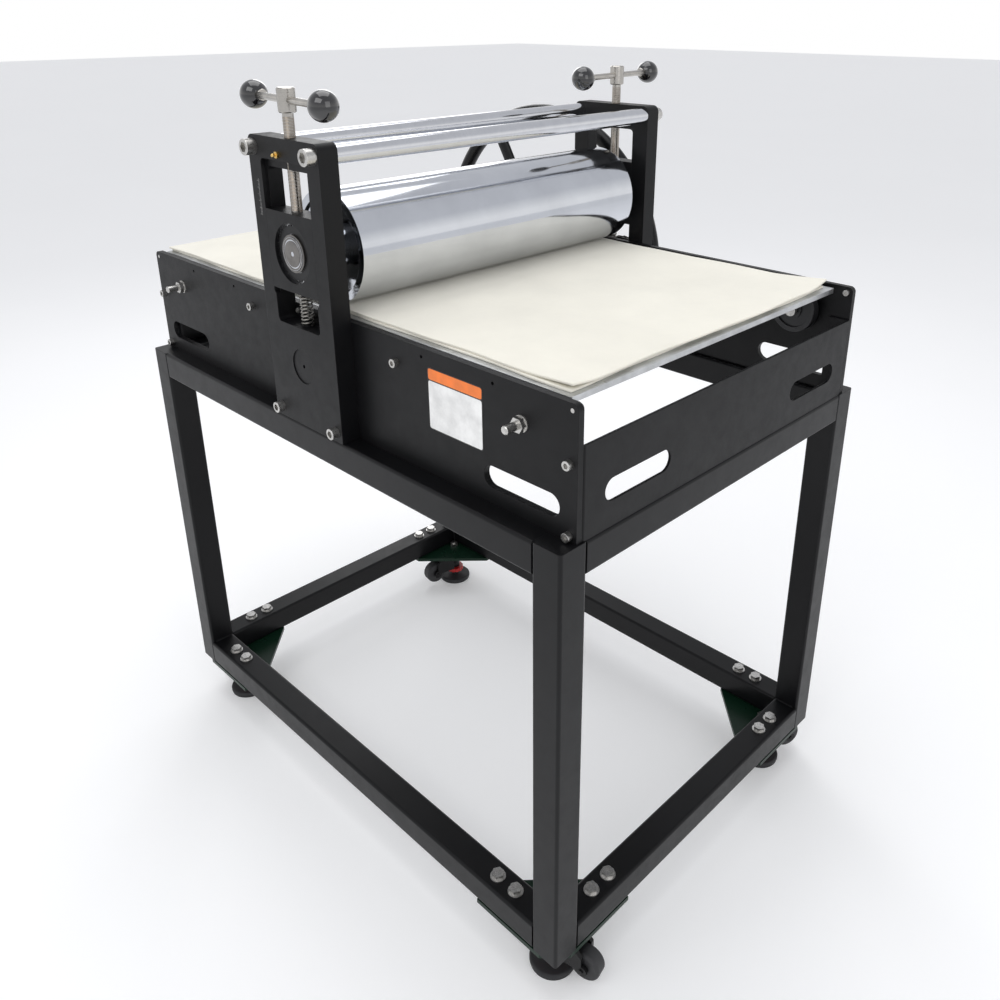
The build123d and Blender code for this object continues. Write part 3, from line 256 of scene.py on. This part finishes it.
PAD_RUBBER = moulded("pad_rubber", (0.018, 0.018, 0.020), 0.66)
DIAL_RED = moulded("dial_red", (0.42, 0.012, 0.012), 0.38)
NYLON = moulded("black_nylon", (0.016, 0.016, 0.018), 0.38)
SPRING_STEEL = turned_metal("spring_steel", (0.26, 0.25, 0.23), 0.30, "Z")

SHAFT_END = turned_metal("faced_shaft_end", (0.20, 0.19, 0.18), 0.34, "Y", 0.0002, 0.2)
CHAIN_STEEL = black_metal("oiled_chain_steel", (0.11, 0.105, 0.10), 0.34)
LABEL_BLACK = moulded("label_edge", (0.012, 0.012, 0.012), 0.45)
LABEL_WHITE = moulded("label_field", (0.80, 0.80, 0.79), 0.42)
LABEL_ORANGE = moulded("label_band", (0.86, 0.20, 0.03), 0.42)
SCALE_FILL = moulded("scale_paint", (0.40, 0.40, 0.39), 0.6)
THREAD_STEEL = turned_metal("oiled_thread", (0.27, 0.22, 0.17), 0.30, "Z")
SHIELD_BLACK = black_metal("pressed_shield", (0.035, 0.035, 0.036), 0.42)

CASTORS = range(1, 5)
FINISHES = {
    STAND_PAINT: ["stand_legs", "stand_top_rails", "stand_bottom_rails"],
    PLATE_PAINT: ["side_plate_near", "side_plate_far", "end_plate_front", "end_plate_rear", "upright_near",
                  "upright_far", "lower_bearing_caps", "bearing_blocks"],
    GREEN_PAINT: ["gusset_plates"],
    CASTING_PAINT: ["handwheel", "drive_housing"],
    HOUSING_PAINT: ["caster_housing_%d" % n for n in CASTORS],
    ZINC: ["gusset_bolts", "wheel_axles", "wheel_axle_nuts", "cap_screws", "tie_bar_screws"],
    BRASS: ["grease_nipples"],
    BEARING_STEEL: ["lower_bearing_outers", "lower_bearing_inners", "upper_bearing_outers",
                    "upper_bearing_inners"],
    BLACK_STEEL: ["drive_chain", "driven_sprocket", "drive_sprocket"],
    CHROME: ["upper_roller"],
    BAR_CHROME: ["tie_bars", "cross_bars"],
    STAINLESS: ["pressure_screw_near", "pressure_screw_far", "handle_bar_near", "handle_bar_far",
                "handwheel_shaft"],
    ROLLER_STEEL: ["lower_roller"],
    BED_STEEL: ["bed_plate"],
    FELT: ["felt_lower", "felt_upper"],
    PHENOLIC: ["ball_knobs_near", "ball_knobs_far"],
    TREAD: ["caster_wheel_%d" % n for n in CASTORS],
    PAD_RUBBER: ["leveling_pad_%d" % n for n in CASTORS],
    DIAL_RED: ["leveling_dial_%d" % n for n in CASTORS],
    NYLON: ["support_wheels_front", "support_wheels_rear"],
    SPRING_STEEL: ["lift_springs"],
}


def paint_frame():
    """Every CAD node takes its finish."""
    for finish, names in FINISHES.items():
        for name in names:
            piece = nodes[name]
            piece.data.materials.clear()
            piece.data.materials.append(finish)


# ---------------------------------------------------------------- modelling by hand
def nothing_selected():
    if bpy.context.mode != "OBJECT":
        bpy.ops.object.mode_set(mode="OBJECT")
    bpy.ops.object.select_all(action="DESELECT")


def started(name):
    """Names the primitive that was just added."""
    piece = bpy.context.active_object
    piece.name = name
    piece.data.name = name
    return piece


def apply_place(piece):
    """Puts the place, turn and scale in the mesh."""
    nothing_selected()
    piece.select_set(True)
    bpy.context.view_layer.objects.active = piece
    bpy.ops.object.transform_apply(location=True, rotation=True, scale=True)


def apply_all(piece):
    nothing_selected()
    piece.select_set(True)
    bpy.context.view_layer.objects.active = piece
    for modifier in list(piece.modifiers):
        bpy.ops.object.modifier_apply(modifier=modifier.name)


def pick_faces(piece, wanted):
    """In edit mode, selects only the faces that the test wants."""
    mesh = bmesh.from_edit_mesh(piece.data)
    bpy.ops.mesh.select_all(action="DESELECT")
    bpy.ops.mesh.select_mode(type="FACE")
    for face in mesh.faces:
        face.select = wanted(face)
    mesh.select_flush(True)
    bmesh.update_edit_mesh(piece.data)


def finished(piece, body, material, smooth=35.0):
    """Shading, finish, slot and body of a finished piece."""
    nothing_selected()
    piece.select_set(True)
    bpy.context.view_layer.objects.active = piece
    bpy.ops.object.shade_smooth_by_angle(angle=math.radians(smooth))
    piece.data.materials.clear()
    piece.data.materials.append(material)
    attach(piece, body)
    return piece


def bevelled(piece, width, segments=2, angle=30.0):
    mod = piece.modifiers.new("bevel", "BEVEL")
    mod.width = width
    mod.segments = segments
    mod.limit_method = "ANGLE"
    mod.angle_limit = math.radians(angle)
    apply_all(piece)


def copy_of(piece, name):
    other = piece.copy()
    other.data = piece.data.copy()
    other.name = name
    other.data.name = name
    bpy.context.collection.objects.link(other)
    return other


def joined(pieces, name):
    nothing_selected()
    for piece in pieces:
        piece.select_set(True)
    bpy.context.view_layer.objects.active = pieces[0]
    bpy.ops.object.join()
    return started(name)


# ---------------------------------------------------------------- felts
def felt_sheet(name, level, lead, skew):
    """One blanket: a thin flat slab with soft edges, waves at its free ends and curled corners."""
    low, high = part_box(name)
    size = high - low
    middle = (low + high) / 2
    nothing_selected()
    bpy.ops.mesh.primitive_plane_add(size=1.0, location=middle)
    piece = started("blanket_" + name)
    piece.scale = (size.x, size.y, 1.0)
    apply_place(piece)
    bpy.ops.object.mode_set(mode="EDIT")
    bpy.ops.mesh.select_all(action="SELECT")
    bpy.ops.mesh.subdivide(number_cuts=9)
    bpy.ops.mesh.subdivide(number_cuts=7)
    bpy.ops.object.mode_set(mode="OBJECT")
    rng = random.Random(40 + level)
    phases = [rng.uniform(0, 2 * math.pi) for _ in range(6)]
    thick = size.z * 0.93
    half_nip = 0.13
    for vertex in piece.data.vertices:
        x, y = vertex.co.x, vertex.co.y
        u = (x - middle.x) / (size.x / 2)
        v = (y - middle.y) / (size.y / 2)
        free = min(1.0, max(0.0, (abs(x) - half_nip) / 0.25))
        edge_wave = 0.0016 * math.sin(x * 17 + phases[0]) + 0.0009 * math.sin(x * 41 + phases[1])
        end_wave = 0.0022 * math.sin(y * 13 + phases[2]) + 0.0010 * math.sin(y * 37 + phases[3])
        vertex.co.y = y + edge_wave * abs(v) ** 3 + skew * x
        vertex.co.x = x + end_wave * abs(u) ** 3 - lead * max(0.0, u) ** 3
        ripple = 0.0002 * (1 + math.sin(x * 21 + y * 9 + phases[4]) * math.sin(y * 15 + phases[5]))
        near_corner = max(0.0, u - 0.86) / 0.14 * max(0.0, -v - 0.86) / 0.14
        far_corner = max(0.0, u - 0.80) / 0.20 * max(0.0, v - 0.80) / 0.20
        lift = level * (0.005 * near_corner ** 1.3 + 0.009 * far_corner ** 1.4)
        vertex.co.z = low.z + thick / 2 + free * (level * ripple + lift)
    solid = piece.modifiers.new("thickness", "SOLIDIFY")
    solid.thickness = thick
    solid.offset = 0.0
    apply_all(piece)
    bevelled(piece, thick * 0.36, 3, 60.0)
    finished(piece, "bed", FELT, 60.0)
    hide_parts(name)
    return piece, (size.x, size.y)


def felts():
    below, flat = felt_sheet("felt_lower", 0, 0.004, 0.0)
    above, flat = felt_sheet("felt_upper", 1, 0.0, 0.004)


# ---------------------------------------------------------------- lathe work
def turned(name, middle, axis, radius, depth, steps, vertices=48):
    """Turned piece: a blank whose +axis end is worked by insets, shoulders and slopes.

    steps are (inset, push): inset alone narrows the face, push alone moves it straight along the axis,
    and both together make a slope.
    """
    nothing_selected()
    bpy.ops.mesh.primitive_cylinder_add(vertices=vertices, radius=radius, depth=depth,
                                        location=(0, 0, -depth / 2))
    piece = started(name)
    apply_place(piece)
    bpy.ops.object.mode_set(mode="EDIT")
    pick_faces(piece, lambda face: face.normal.z > 0.9)
    for inset, push in steps:
        if inset:
            bpy.ops.mesh.inset(thickness=inset)
            if push:
                bpy.ops.transform.translate(value=(0, 0, push))
        else:
            bpy.ops.mesh.extrude_region_move(TRANSFORM_OT_translate={"value": (0, 0, push)})
    bpy.ops.object.mode_set(mode="OBJECT")
    turn = Vector(axis).to_track_quat("Z", "Y")
    piece.rotation_euler = turn.to_euler()
    piece.location = middle
    apply_place(piece)
    return piece


# ---------------------------------------------------------------- journal ends and bearing fronts
JOURNAL_END = [(0.0010, 0.0006), (0.0022, 0.0), (0.0004, -0.0014), (0.0012, 0.0), (0.0004, 0.0016),
               (0.0146, 0.0), (0.0006, -0.0004), (0.0008, 0.0), (0.0022, -0.0024)]


def journal_ends():
    """Faced ends of the upper roller's journals: a lip, a ring groove and a centre drilling."""
    for name, side, y in (("near", -1, UPPER_LOW.y), ("far", 1, UPPER_HIGH.y)):
        end = Vector((0.0, y - side * 0.0002, UPPER_AXIS.z))
        piece = turned("journal_end_" + name, end, (0, side, 0), JOURNAL_RADIUS, 0.0008, JOURNAL_END, 64)
        finished(piece, "upper_roller", SHAFT_END, 30.0)


def washer(name, middle, side, inner, outer, thick, vertices=72):
    """Flat ring about Y, its outer face at middle and its thickness behind that face."""
    nothing_selected()
    bpy.ops.mesh.primitive_circle_add(vertices=vertices, radius=outer, fill_type="NOTHING",
                                      location=(0, 0, 0))
    piece = started(name)
    bpy.ops.object.mode_set(mode="EDIT")
    bpy.ops.mesh.select_mode(type="VERT")
    bpy.ops.mesh.select_all(action="SELECT")
    bpy.ops.mesh.extrude_region_move()
    bpy.ops.transform.resize(value=(inner / outer, inner / outer, 1.0))
    bpy.ops.mesh.select_all(action="SELECT")
    bpy.ops.mesh.normals_make_consistent(inside=False)
    bpy.ops.object.mode_set(mode="OBJECT")
    solid = piece.modifiers.new("thickness", "SOLIDIFY")
    solid.thickness = thick
    solid.offset = 0.0
    apply_all(piece)
    piece.rotation_euler = Vector((0, side, 0)).to_track_quat("Z", "Y").to_euler()
    piece.location = Vector(middle) - Vector((0, side * thick / 2, 0))
    apply_place(piece)
    return piece


SHIELD_NOTCHES = 18
SHIELD_INNER, SHIELD_OUTER = 0.0292, 0.0428
NOTCH_MIDDLE, NOTCH_RADIUS = 0.0436, 0.0032
COLLAR_INNER, COLLAR_OUTER = 0.02515, 0.0286
COLLAR_LENGTH = 0.0039


def notched(shield, middle, radius, notch):
    """Cuts round notches in a shield's outer edge."""
    cutters = []
    for k in range(SHIELD_NOTCHES):
        turn = 2 * math.pi * (k + 0.5) / SHIELD_NOTCHES
        spot = (middle.x + radius * math.cos(turn), middle.y, middle.z + radius * math.sin(turn))
        nothing_selected()
        bpy.ops.mesh.primitive_cylinder_add(vertices=16, radius=notch, depth=0.02, location=spot,
                                            rotation=(math.radians(90), 0, 0))
        cutters.append(started("notch_cutter"))
    cutter = joined(cutters, "notch_cutters")
    apply_place(cutter)
    cut = shield.modifiers.new("notches", "BOOLEAN")
    cut.operation = "DIFFERENCE"
    cut.solver = "EXACT"
    cut.object = cutter
    apply_all(shield)
    bpy.data.objects.remove(cutter)


def bearing_fronts():
    """Notched shields over the balls and locking collars round the journals of the upper bearings."""
    outer_low, outer_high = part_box("upper_bearing_outers")
    inner_low, inner_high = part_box("upper_bearing_inners")
    ends = (("near", -1, outer_low.y, inner_low.y), ("far", 1, outer_high.y, inner_high.y))
    for name, side, y, inner_y in ends:
        face = Vector((0.0, y + side * 0.0009, UPPER_AXIS.z))
        shield = washer("bearing_shield_" + name, face, side, SHIELD_INNER, SHIELD_OUTER, 0.0008)
        notched(shield, face, NOTCH_MIDDLE, NOTCH_RADIUS)
        bevelled(shield, 0.0002, 1, 60.0)
        finished(shield, "carriage", SHIELD_BLACK, 35.0)
        front = Vector((0.0, inner_y + side * 0.0040, UPPER_AXIS.z))
        collar = washer("locking_collar_" + name, front, side, COLLAR_INNER, COLLAR_OUTER, COLLAR_LENGTH)
        bevelled(collar, 0.0005, 2, 60.0)
        finished(collar, "upper_roller", SHAFT_END, 35.0)


# ---------------------------------------------------------------- screw threads and knob collars
THREAD_PITCH = 0.002
THREAD_RUNOUT = 0.006
THREAD_START = 0.002           # above the screw's lower end


def screw_threads():
    """Rolled thread on each pressure screw, from the bearing block up to the hub."""
    for name in ("near", "far"):
        low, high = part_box("pressure_screw_" + name)
        middle = (low + high) / 2
        length = high.z - low.z - HUB_HEIGHT - THREAD_RUNOUT
        turns = int(length / THREAD_PITCH)
        nothing_selected()
        bpy.ops.mesh.primitive_circle_add(vertices=3, radius=0.00078, fill_type="NGON",
                                          rotation=(math.radians(90), 0, 0), location=(0.00786, 0, 0))
        thread = started("screw_thread_" + name)
        apply_place(thread)
        bpy.ops.object.mode_set(mode="EDIT")
        bpy.ops.mesh.select_all(action="SELECT")
        bpy.ops.mesh.delete(type="ONLY_FACE")
        bpy.ops.object.mode_set(mode="OBJECT")
        winding = thread.modifiers.new("winding", "SCREW")
        winding.axis = "Z"
        winding.screw_offset = THREAD_PITCH
        winding.iterations = turns
        winding.steps = 20
        winding.render_steps = 20
        winding.use_merge_vertices = False
        apply_all(thread)
        thread.location = (middle.x, middle.y, low.z + THREAD_START)
        apply_place(thread)
        bpy.ops.object.mode_set(mode="EDIT")
        bpy.ops.mesh.select_all(action="SELECT")
        bpy.ops.mesh.normals_make_consistent(inside=False)
        bpy.ops.object.mode_set(mode="OBJECT")
        finished(thread, "screw_" + name, THREAD_STEEL, 20.0)


COLLAR = [(0.0008, 0.0006), (0.0, 0.0030), (0.0008, 0.0008), (0.0009, 0.0)]


def knob_collars():
    """Turned collars where the handle bars screw into the ball knobs."""
    for name in ("near", "far"):
        low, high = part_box("ball_knobs_" + name)
        middle = (low + high) / 2
        bar_low, bar_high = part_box("handle_bar_" + name)
        bar = bar_high - bar_low
        along = Vector((bar.x, bar.y, 0.0)).normalized()
        if name == "near":
            along.y = -along.y
        else:
            along.x = -along.x
        for end in (-1, 1):
            ball = middle + along * end * HANDLE_REACH
            spot = ball - along * end * 0.0180
            collar = turned("knob_collar_%s_%s" % (name, "a" if end < 0 else "b"), spot, -along * end, 0.0090,
                            0.0020, COLLAR, 32)
            finished(collar, "screw_" + name, STAINLESS, 30.0)


# ---------------------------------------------------------------- label, scale and welds
def rounded_card(name, x0, x1, z0, z1, y, thick, corner):
    """Thin card with rounded corners that lies on the near side plate's face."""
    nothing_selected()
    bpy.ops.mesh.primitive_cube_add(size=1.0, location=((x0 + x1) / 2, y - thick / 2, (z0 + z1) / 2))
    card = started(name)
    card.scale = (x1 - x0, thick, z1 - z0)
    apply_place(card)
    bpy.ops.object.mode_set(mode="EDIT")
    mesh = bmesh.from_edit_mesh(card.data)
    bpy.ops.mesh.select_mode(type="EDGE")
    bpy.ops.mesh.select_all(action="DESELECT")
    for edge in mesh.edges:
        a, b = edge.verts
        edge.select = abs(a.co.y - b.co.y) > thick / 2
    bmesh.update_edit_mesh(card.data)
    bpy.ops.mesh.bevel(offset=corner, segments=6)
    bpy.ops.object.mode_set(mode="OBJECT")
    return card


def label():
    """Plain notice plate: black edge, orange band over a white field, with no lettering."""
    x0, x1 = 0.262, 0.372
    z0, z1 = 0.8985, 0.9905
    border = rounded_card("label_border", x0, x1, z0, z1, PLATE_FACE_Y, 0.00025, 0.005)
    finished(border, "press_frame", LABEL_BLACK)
    rim = 0.0016
    band_z = z1 - 0.0185
    left, right = x0 + rim, x1 - rim
    face = PLATE_FACE_Y - 0.0002
    field = rounded_card("label_field", left, right, z0 + rim, band_z - rim / 2, face, 0.0002, 0.0034)
    finished(field, "press_frame", LABEL_WHITE)
    band = rounded_card("label_band", left, right, band_z + rim / 2, z1 - rim, face, 0.0002, 0.0034)
    finished(band, "press_frame", LABEL_ORANGE)


SCALE_FOOT = 1.155             # lowest mark, above the floor
SCALE_X = -0.0700
SCALE_STEP = 0.002
SCALE_COUNT = 27


def scale_marks():
    """Engraved height scale beside the near window, filled with pale paint."""
    marks = []
    for k in range(SCALE_COUNT):
        long_mark = k % 5 == 0
        width = 0.0060 if long_mark else 0.0034
        z = SCALE_FOOT + SCALE_STEP * k
        nothing_selected()
        bpy.ops.mesh.primitive_cube_add(size=1.0, location=(SCALE_X - width / 2, NEAR_FACE_Y - 0.00003, z))
        mark = started("mark")
        mark.scale = (width, 0.00010, 0.00048)
        apply_place(mark)
        marks.append(mark)
    scale = joined(marks, "height_scale")
    bevelled(scale, 0.00002, 1)
    finished(scale, "press_frame", SCALE_FILL)


WELD_RADIUS = 0.0022
WELD_STEP = 0.0021             # from one scale of the bead to the next
WELD_INSET = 0.006             # a bead stops short of the tubes' corners
WELD_SETBACK = 0.0006


def weld_bead(start, end):
    """One fillet weld between two tubes: overlapping scales of the weld pool in a row."""
    start, end = Vector(start), Vector(end)
    along = end - start
    nothing_selected()
    bpy.ops.mesh.primitive_uv_sphere_add(segments=10, ring_count=6, radius=WELD_RADIUS, location=(0, 0, 0))
    bead = started("bead")
    bead.scale = (1.0, 1.0, 0.75)
    apply_place(bead)
    row = bead.modifiers.new("row", "ARRAY")
    row.use_relative_offset = False
    row.use_constant_offset = True
    row.constant_offset_displace = (0.0, 0.0, WELD_STEP)
    row.count = int(along.length / WELD_STEP)
    apply_all(bead)
    bead.rotation_euler = along.to_track_quat("Z", "Y").to_euler()
    bead.location = start
    apply_place(bead)
    return bead


def stand_welds():
    """Fillet welds round the rails where they butt against the legs."""
    beads = []
    half_x, half_y = STAND_HIGH.x, (STAND_HIGH.y - STAND_LOW.y) / 2
    for sx in (-1, 1):
        for sy in (-1, 1):
            corner_x = sx * half_x
            corner_y = MID_Y + sy * half_y
            in_x = corner_x - sx * TUBE
            in_y = corner_y - sy * TUBE
            for z_low in (STAND_LOW.z, STAND_HIGH.z - TUBE):
                z_high = z_low + TUBE
                y_out = corner_y - sy * WELD_SETBACK
                x_out = corner_x - sx * WELD_SETBACK
                for z in (z_low, z_high):
                    if z == STAND_LOW.z or z == STAND_HIGH.z:
                        continue
                    beads.append(((in_x, in_y + sy * WELD_INSET, z), (in_x, y_out - sy * WELD_INSET, z)))
                    beads.append(((in_x + sx * WELD_INSET, in_y, z), (x_out - sx * WELD_INSET, in_y, z)))
                beads.append(((in_x, in_y, z_low + WELD_INSET), (in_x, in_y, z_high - WELD_INSET)))
    whole = joined([weld_bead(start, end) for start, end in beads], "stand_welds")
    finished(whole, "press_frame", STAND_PAINT, 60.0)


# ---------------------------------------------------------------- chain
CHAIN_PITCH = 0.0127
DRIVE_TEETH, DRIVEN_TEETH = 14, 35
CHAIN_LINKS = 64


def chain_route():
    """Pin places and headings round both sprockets, as (x, z, heading)."""
    small = CHAIN_PITCH / 2 / math.sin(math.pi / DRIVE_TEETH)
    big = CHAIN_PITCH / 2 / math.sin(math.pi / DRIVEN_TEETH)
    far = -WHEEL_AXIS_X
    lean = math.asin((big - small) / far)
    straight = math.sqrt(far * far - (big - small) ** 2)
    arc_big = big * (math.pi + 2 * lean)
    arc_small = small * (math.pi - 2 * lean)
    whole = 2 * straight + arc_big + arc_small
    places = []
    for k in range(CHAIN_LINKS):
        s = whole * k / CHAIN_LINKS
        if s < straight:
            start = Vector((-big * math.sin(lean), big * math.cos(lean)))
            way = Vector((-math.cos(lean), -math.sin(lean)))
            spot = start + way * s
            heading = math.atan2(way.y, way.x)
        elif s < straight + arc_small:
            turn = math.pi / 2 + lean + (s - straight) / small
            spot = Vector((WHEEL_AXIS_X + small * math.cos(turn), small * math.sin(turn)))
            heading = turn + math.pi / 2
        elif s < 2 * straight + arc_small:
            t = s - straight - arc_small
            start = Vector((WHEEL_AXIS_X - small * math.sin(lean), -small * math.cos(lean)))
            way = Vector((math.cos(lean), -math.sin(lean)))
            spot = start + way * t
            heading = math.atan2(way.y, way.x)
        else:
            turn = -math.pi / 2 - lean + (s - 2 * straight - arc_small) / big
            spot = Vector((big * math.cos(turn), big * math.sin(turn)))
            heading = turn + math.pi / 2
        places.append((spot.x, spot.y, heading))
    return places


def link_model(name, offset):
    """One link: two waisted side plates and a roller, lying along X at the origin, plates at +-offset."""
    parts = []
    for side in (-1, 1):
        nothing_selected()
        bpy.ops.mesh.primitive_cylinder_add(vertices=16, radius=0.0053, depth=0.0011,
                                            rotation=(math.radians(90), 0, 0), location=(0, side * offset, 0))
        plate = started("side_bar")
        apply_place(plate)
        bpy.ops.object.mode_set(mode="EDIT")
        bpy.ops.mesh.select_all(action="DESELECT")
        mesh = bmesh.from_edit_mesh(plate.data)
        for vertex in mesh.verts:
            vertex.select = vertex.co.x > 0.0001
        mesh.select_flush(True)
        bmesh.update_edit_mesh(plate.data)
        bpy.ops.transform.translate(value=(CHAIN_PITCH, 0, 0))
        bpy.ops.object.mode_set(mode="OBJECT")
        parts.append(plate)
    nothing_selected()
    bpy.ops.mesh.primitive_cylinder_add(vertices=12, radius=0.0042, depth=2 * offset + 0.0022,
                                        rotation=(math.radians(90), 0, 0), location=(0, 0, 0))
    roller = started("roller")
    apply_place(roller)
    bpy.ops.object.mode_set(mode="EDIT")
    pick_faces(roller, lambda face: abs(face.normal.y) > 0.9)
    bpy.ops.mesh.inset(thickness=0.0014)
    bpy.ops.mesh.extrude_region_shrink_fatten(TRANSFORM_OT_shrink_fatten={"value": 0.0006})
    bpy.ops.object.mode_set(mode="OBJECT")
    parts.append(roller)
    return joined(parts, name)


def chain():
    """Roller chain of separate links round the two sprockets."""
    low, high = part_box("drive_chain")
    y = (low.y + high.y) / 2
    inner = link_model("inner_link", 0.0048)
    outer = link_model("outer_link", 0.0062)
    made = []
    for k, (x, z, heading) in enumerate(chain_route()):
        link = copy_of(inner if k % 2 else outer, "link")
        link.rotation_euler = (0.0, -heading, 0.0)
        link.location = (x, y, WHEEL_AXIS_Z + z)
        made.append(link)
    for link in made:
        apply_place(link)
    whole = joined(made, "roller_chain")
    bpy.data.objects.remove(inner)
    bpy.data.objects.remove(outer)
    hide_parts("drive_chain")
    finished(whole, "press_frame", CHAIN_STEEL, 35.0)


# ---------------------------------------------------------------- camera and studio
LENS = 33.47
CAMERA_PLACE = (1.1885, MID_Y - 1.0926, 1.4402)
CAMERA_TILT = (math.radians(67.582), 0.0, math.radians(44.027))
CAMERA_SHIFT = (-0.0352, -0.1081)


def camera():
    data = bpy.data.cameras.new("camera")
    data.lens = LENS
    data.sensor_width = 36.0
    data.shift_x, data.shift_y = CAMERA_SHIFT
    eye = bpy.data.objects.new("camera", data)
    eye.location = CAMERA_PLACE
    eye.rotation_euler = CAMERA_TILT
    bpy.context.scene.collection.objects.link(eye)
    bpy.context.scene.camera = eye


def soft_light(name, place, aim, size, power, colour=(1.0, 1.0, 1.0)):
    data = bpy.data.lights.new(name, "AREA")
    data.shape = "RECTANGLE"
    data.size, data.size_y = size
    data.energy = power
    data.color = colour
    lamp = bpy.data.objects.new(name, data)
    lamp.location = place
    lamp.rotation_euler = (Vector(aim) - Vector(place)).to_track_quat("-Z", "Y").to_euler()
    bpy.context.scene.collection.objects.link(lamp)


SKY = ((0.0, (1.0, 1.0, 1.0)), (0.12, (1.0, 1.0, 1.0)), (0.42, (0.66, 0.67, 0.70)), (1.0, (0.60, 0.61, 0.64)))


def studio():
    """Pale floor, white surroundings and large soft lights."""
    nothing_selected()
    bpy.ops.mesh.primitive_plane_add(size=60.0, location=(0.0, 0.0, -0.0004))
    floor = started("floor")
    f = Finish("pale_floor", 0.75, Emission_Color=(1.0, 1.0, 1.0, 1.0), Emission_Strength=0.14)
    f.mottle(f.noise(0.8, 3.0), (0.93, 0.93, 0.93), 0.01)
    floor.data.materials.append(f.mat)
    world = bpy.data.worlds.new("studio")
    world.use_nodes = True
    tree = world.node_tree
    split = tree.nodes.new("ShaderNodeSeparateXYZ")
    tree.links.new(tree.nodes.new("ShaderNodeTexCoord").outputs["Generated"], split.inputs["Vector"])
    level = tree.nodes.new("ShaderNodeValToRGB")
    level.color_ramp.elements.new(0.5)
    level.color_ramp.elements.new(0.5)
    for element, (place, colour) in zip(level.color_ramp.elements, SKY):
        element.position = place
        element.color = (*colour, 1.0)
    tree.links.new(split.outputs["Z"], level.inputs["Fac"])
    tree.links.new(level.outputs["Color"], tree.nodes["Background"].inputs["Color"])
    bpy.context.scene.world = world
    bpy.context.scene.view_settings.view_transform = "Standard"
    soft_light("key", (0.6, -2.6, 3.4), (0.0, 0.0, 0.9), (2.6, 1.6), 26.0)
    soft_light("fill", (3.2, -0.6, 2.2), (0.0, 0.0, 0.8), (1.6, 2.2), 12.0)
    soft_light("top", (-0.4, 0.2, 3.6), (0.0, 0.0, 1.0), (2.4, 2.4), 30.0)
    soft_light("rim", (-2.6, 1.8, 2.4), (0.0, 0.0, 0.9), (1.2, 2.0), 14.0)


paint_frame()
felts()
journal_ends()
bearing_fronts()
screw_threads()
knob_collars()
label()
scale_marks()
stand_welds()
chain()
camera()
studio()
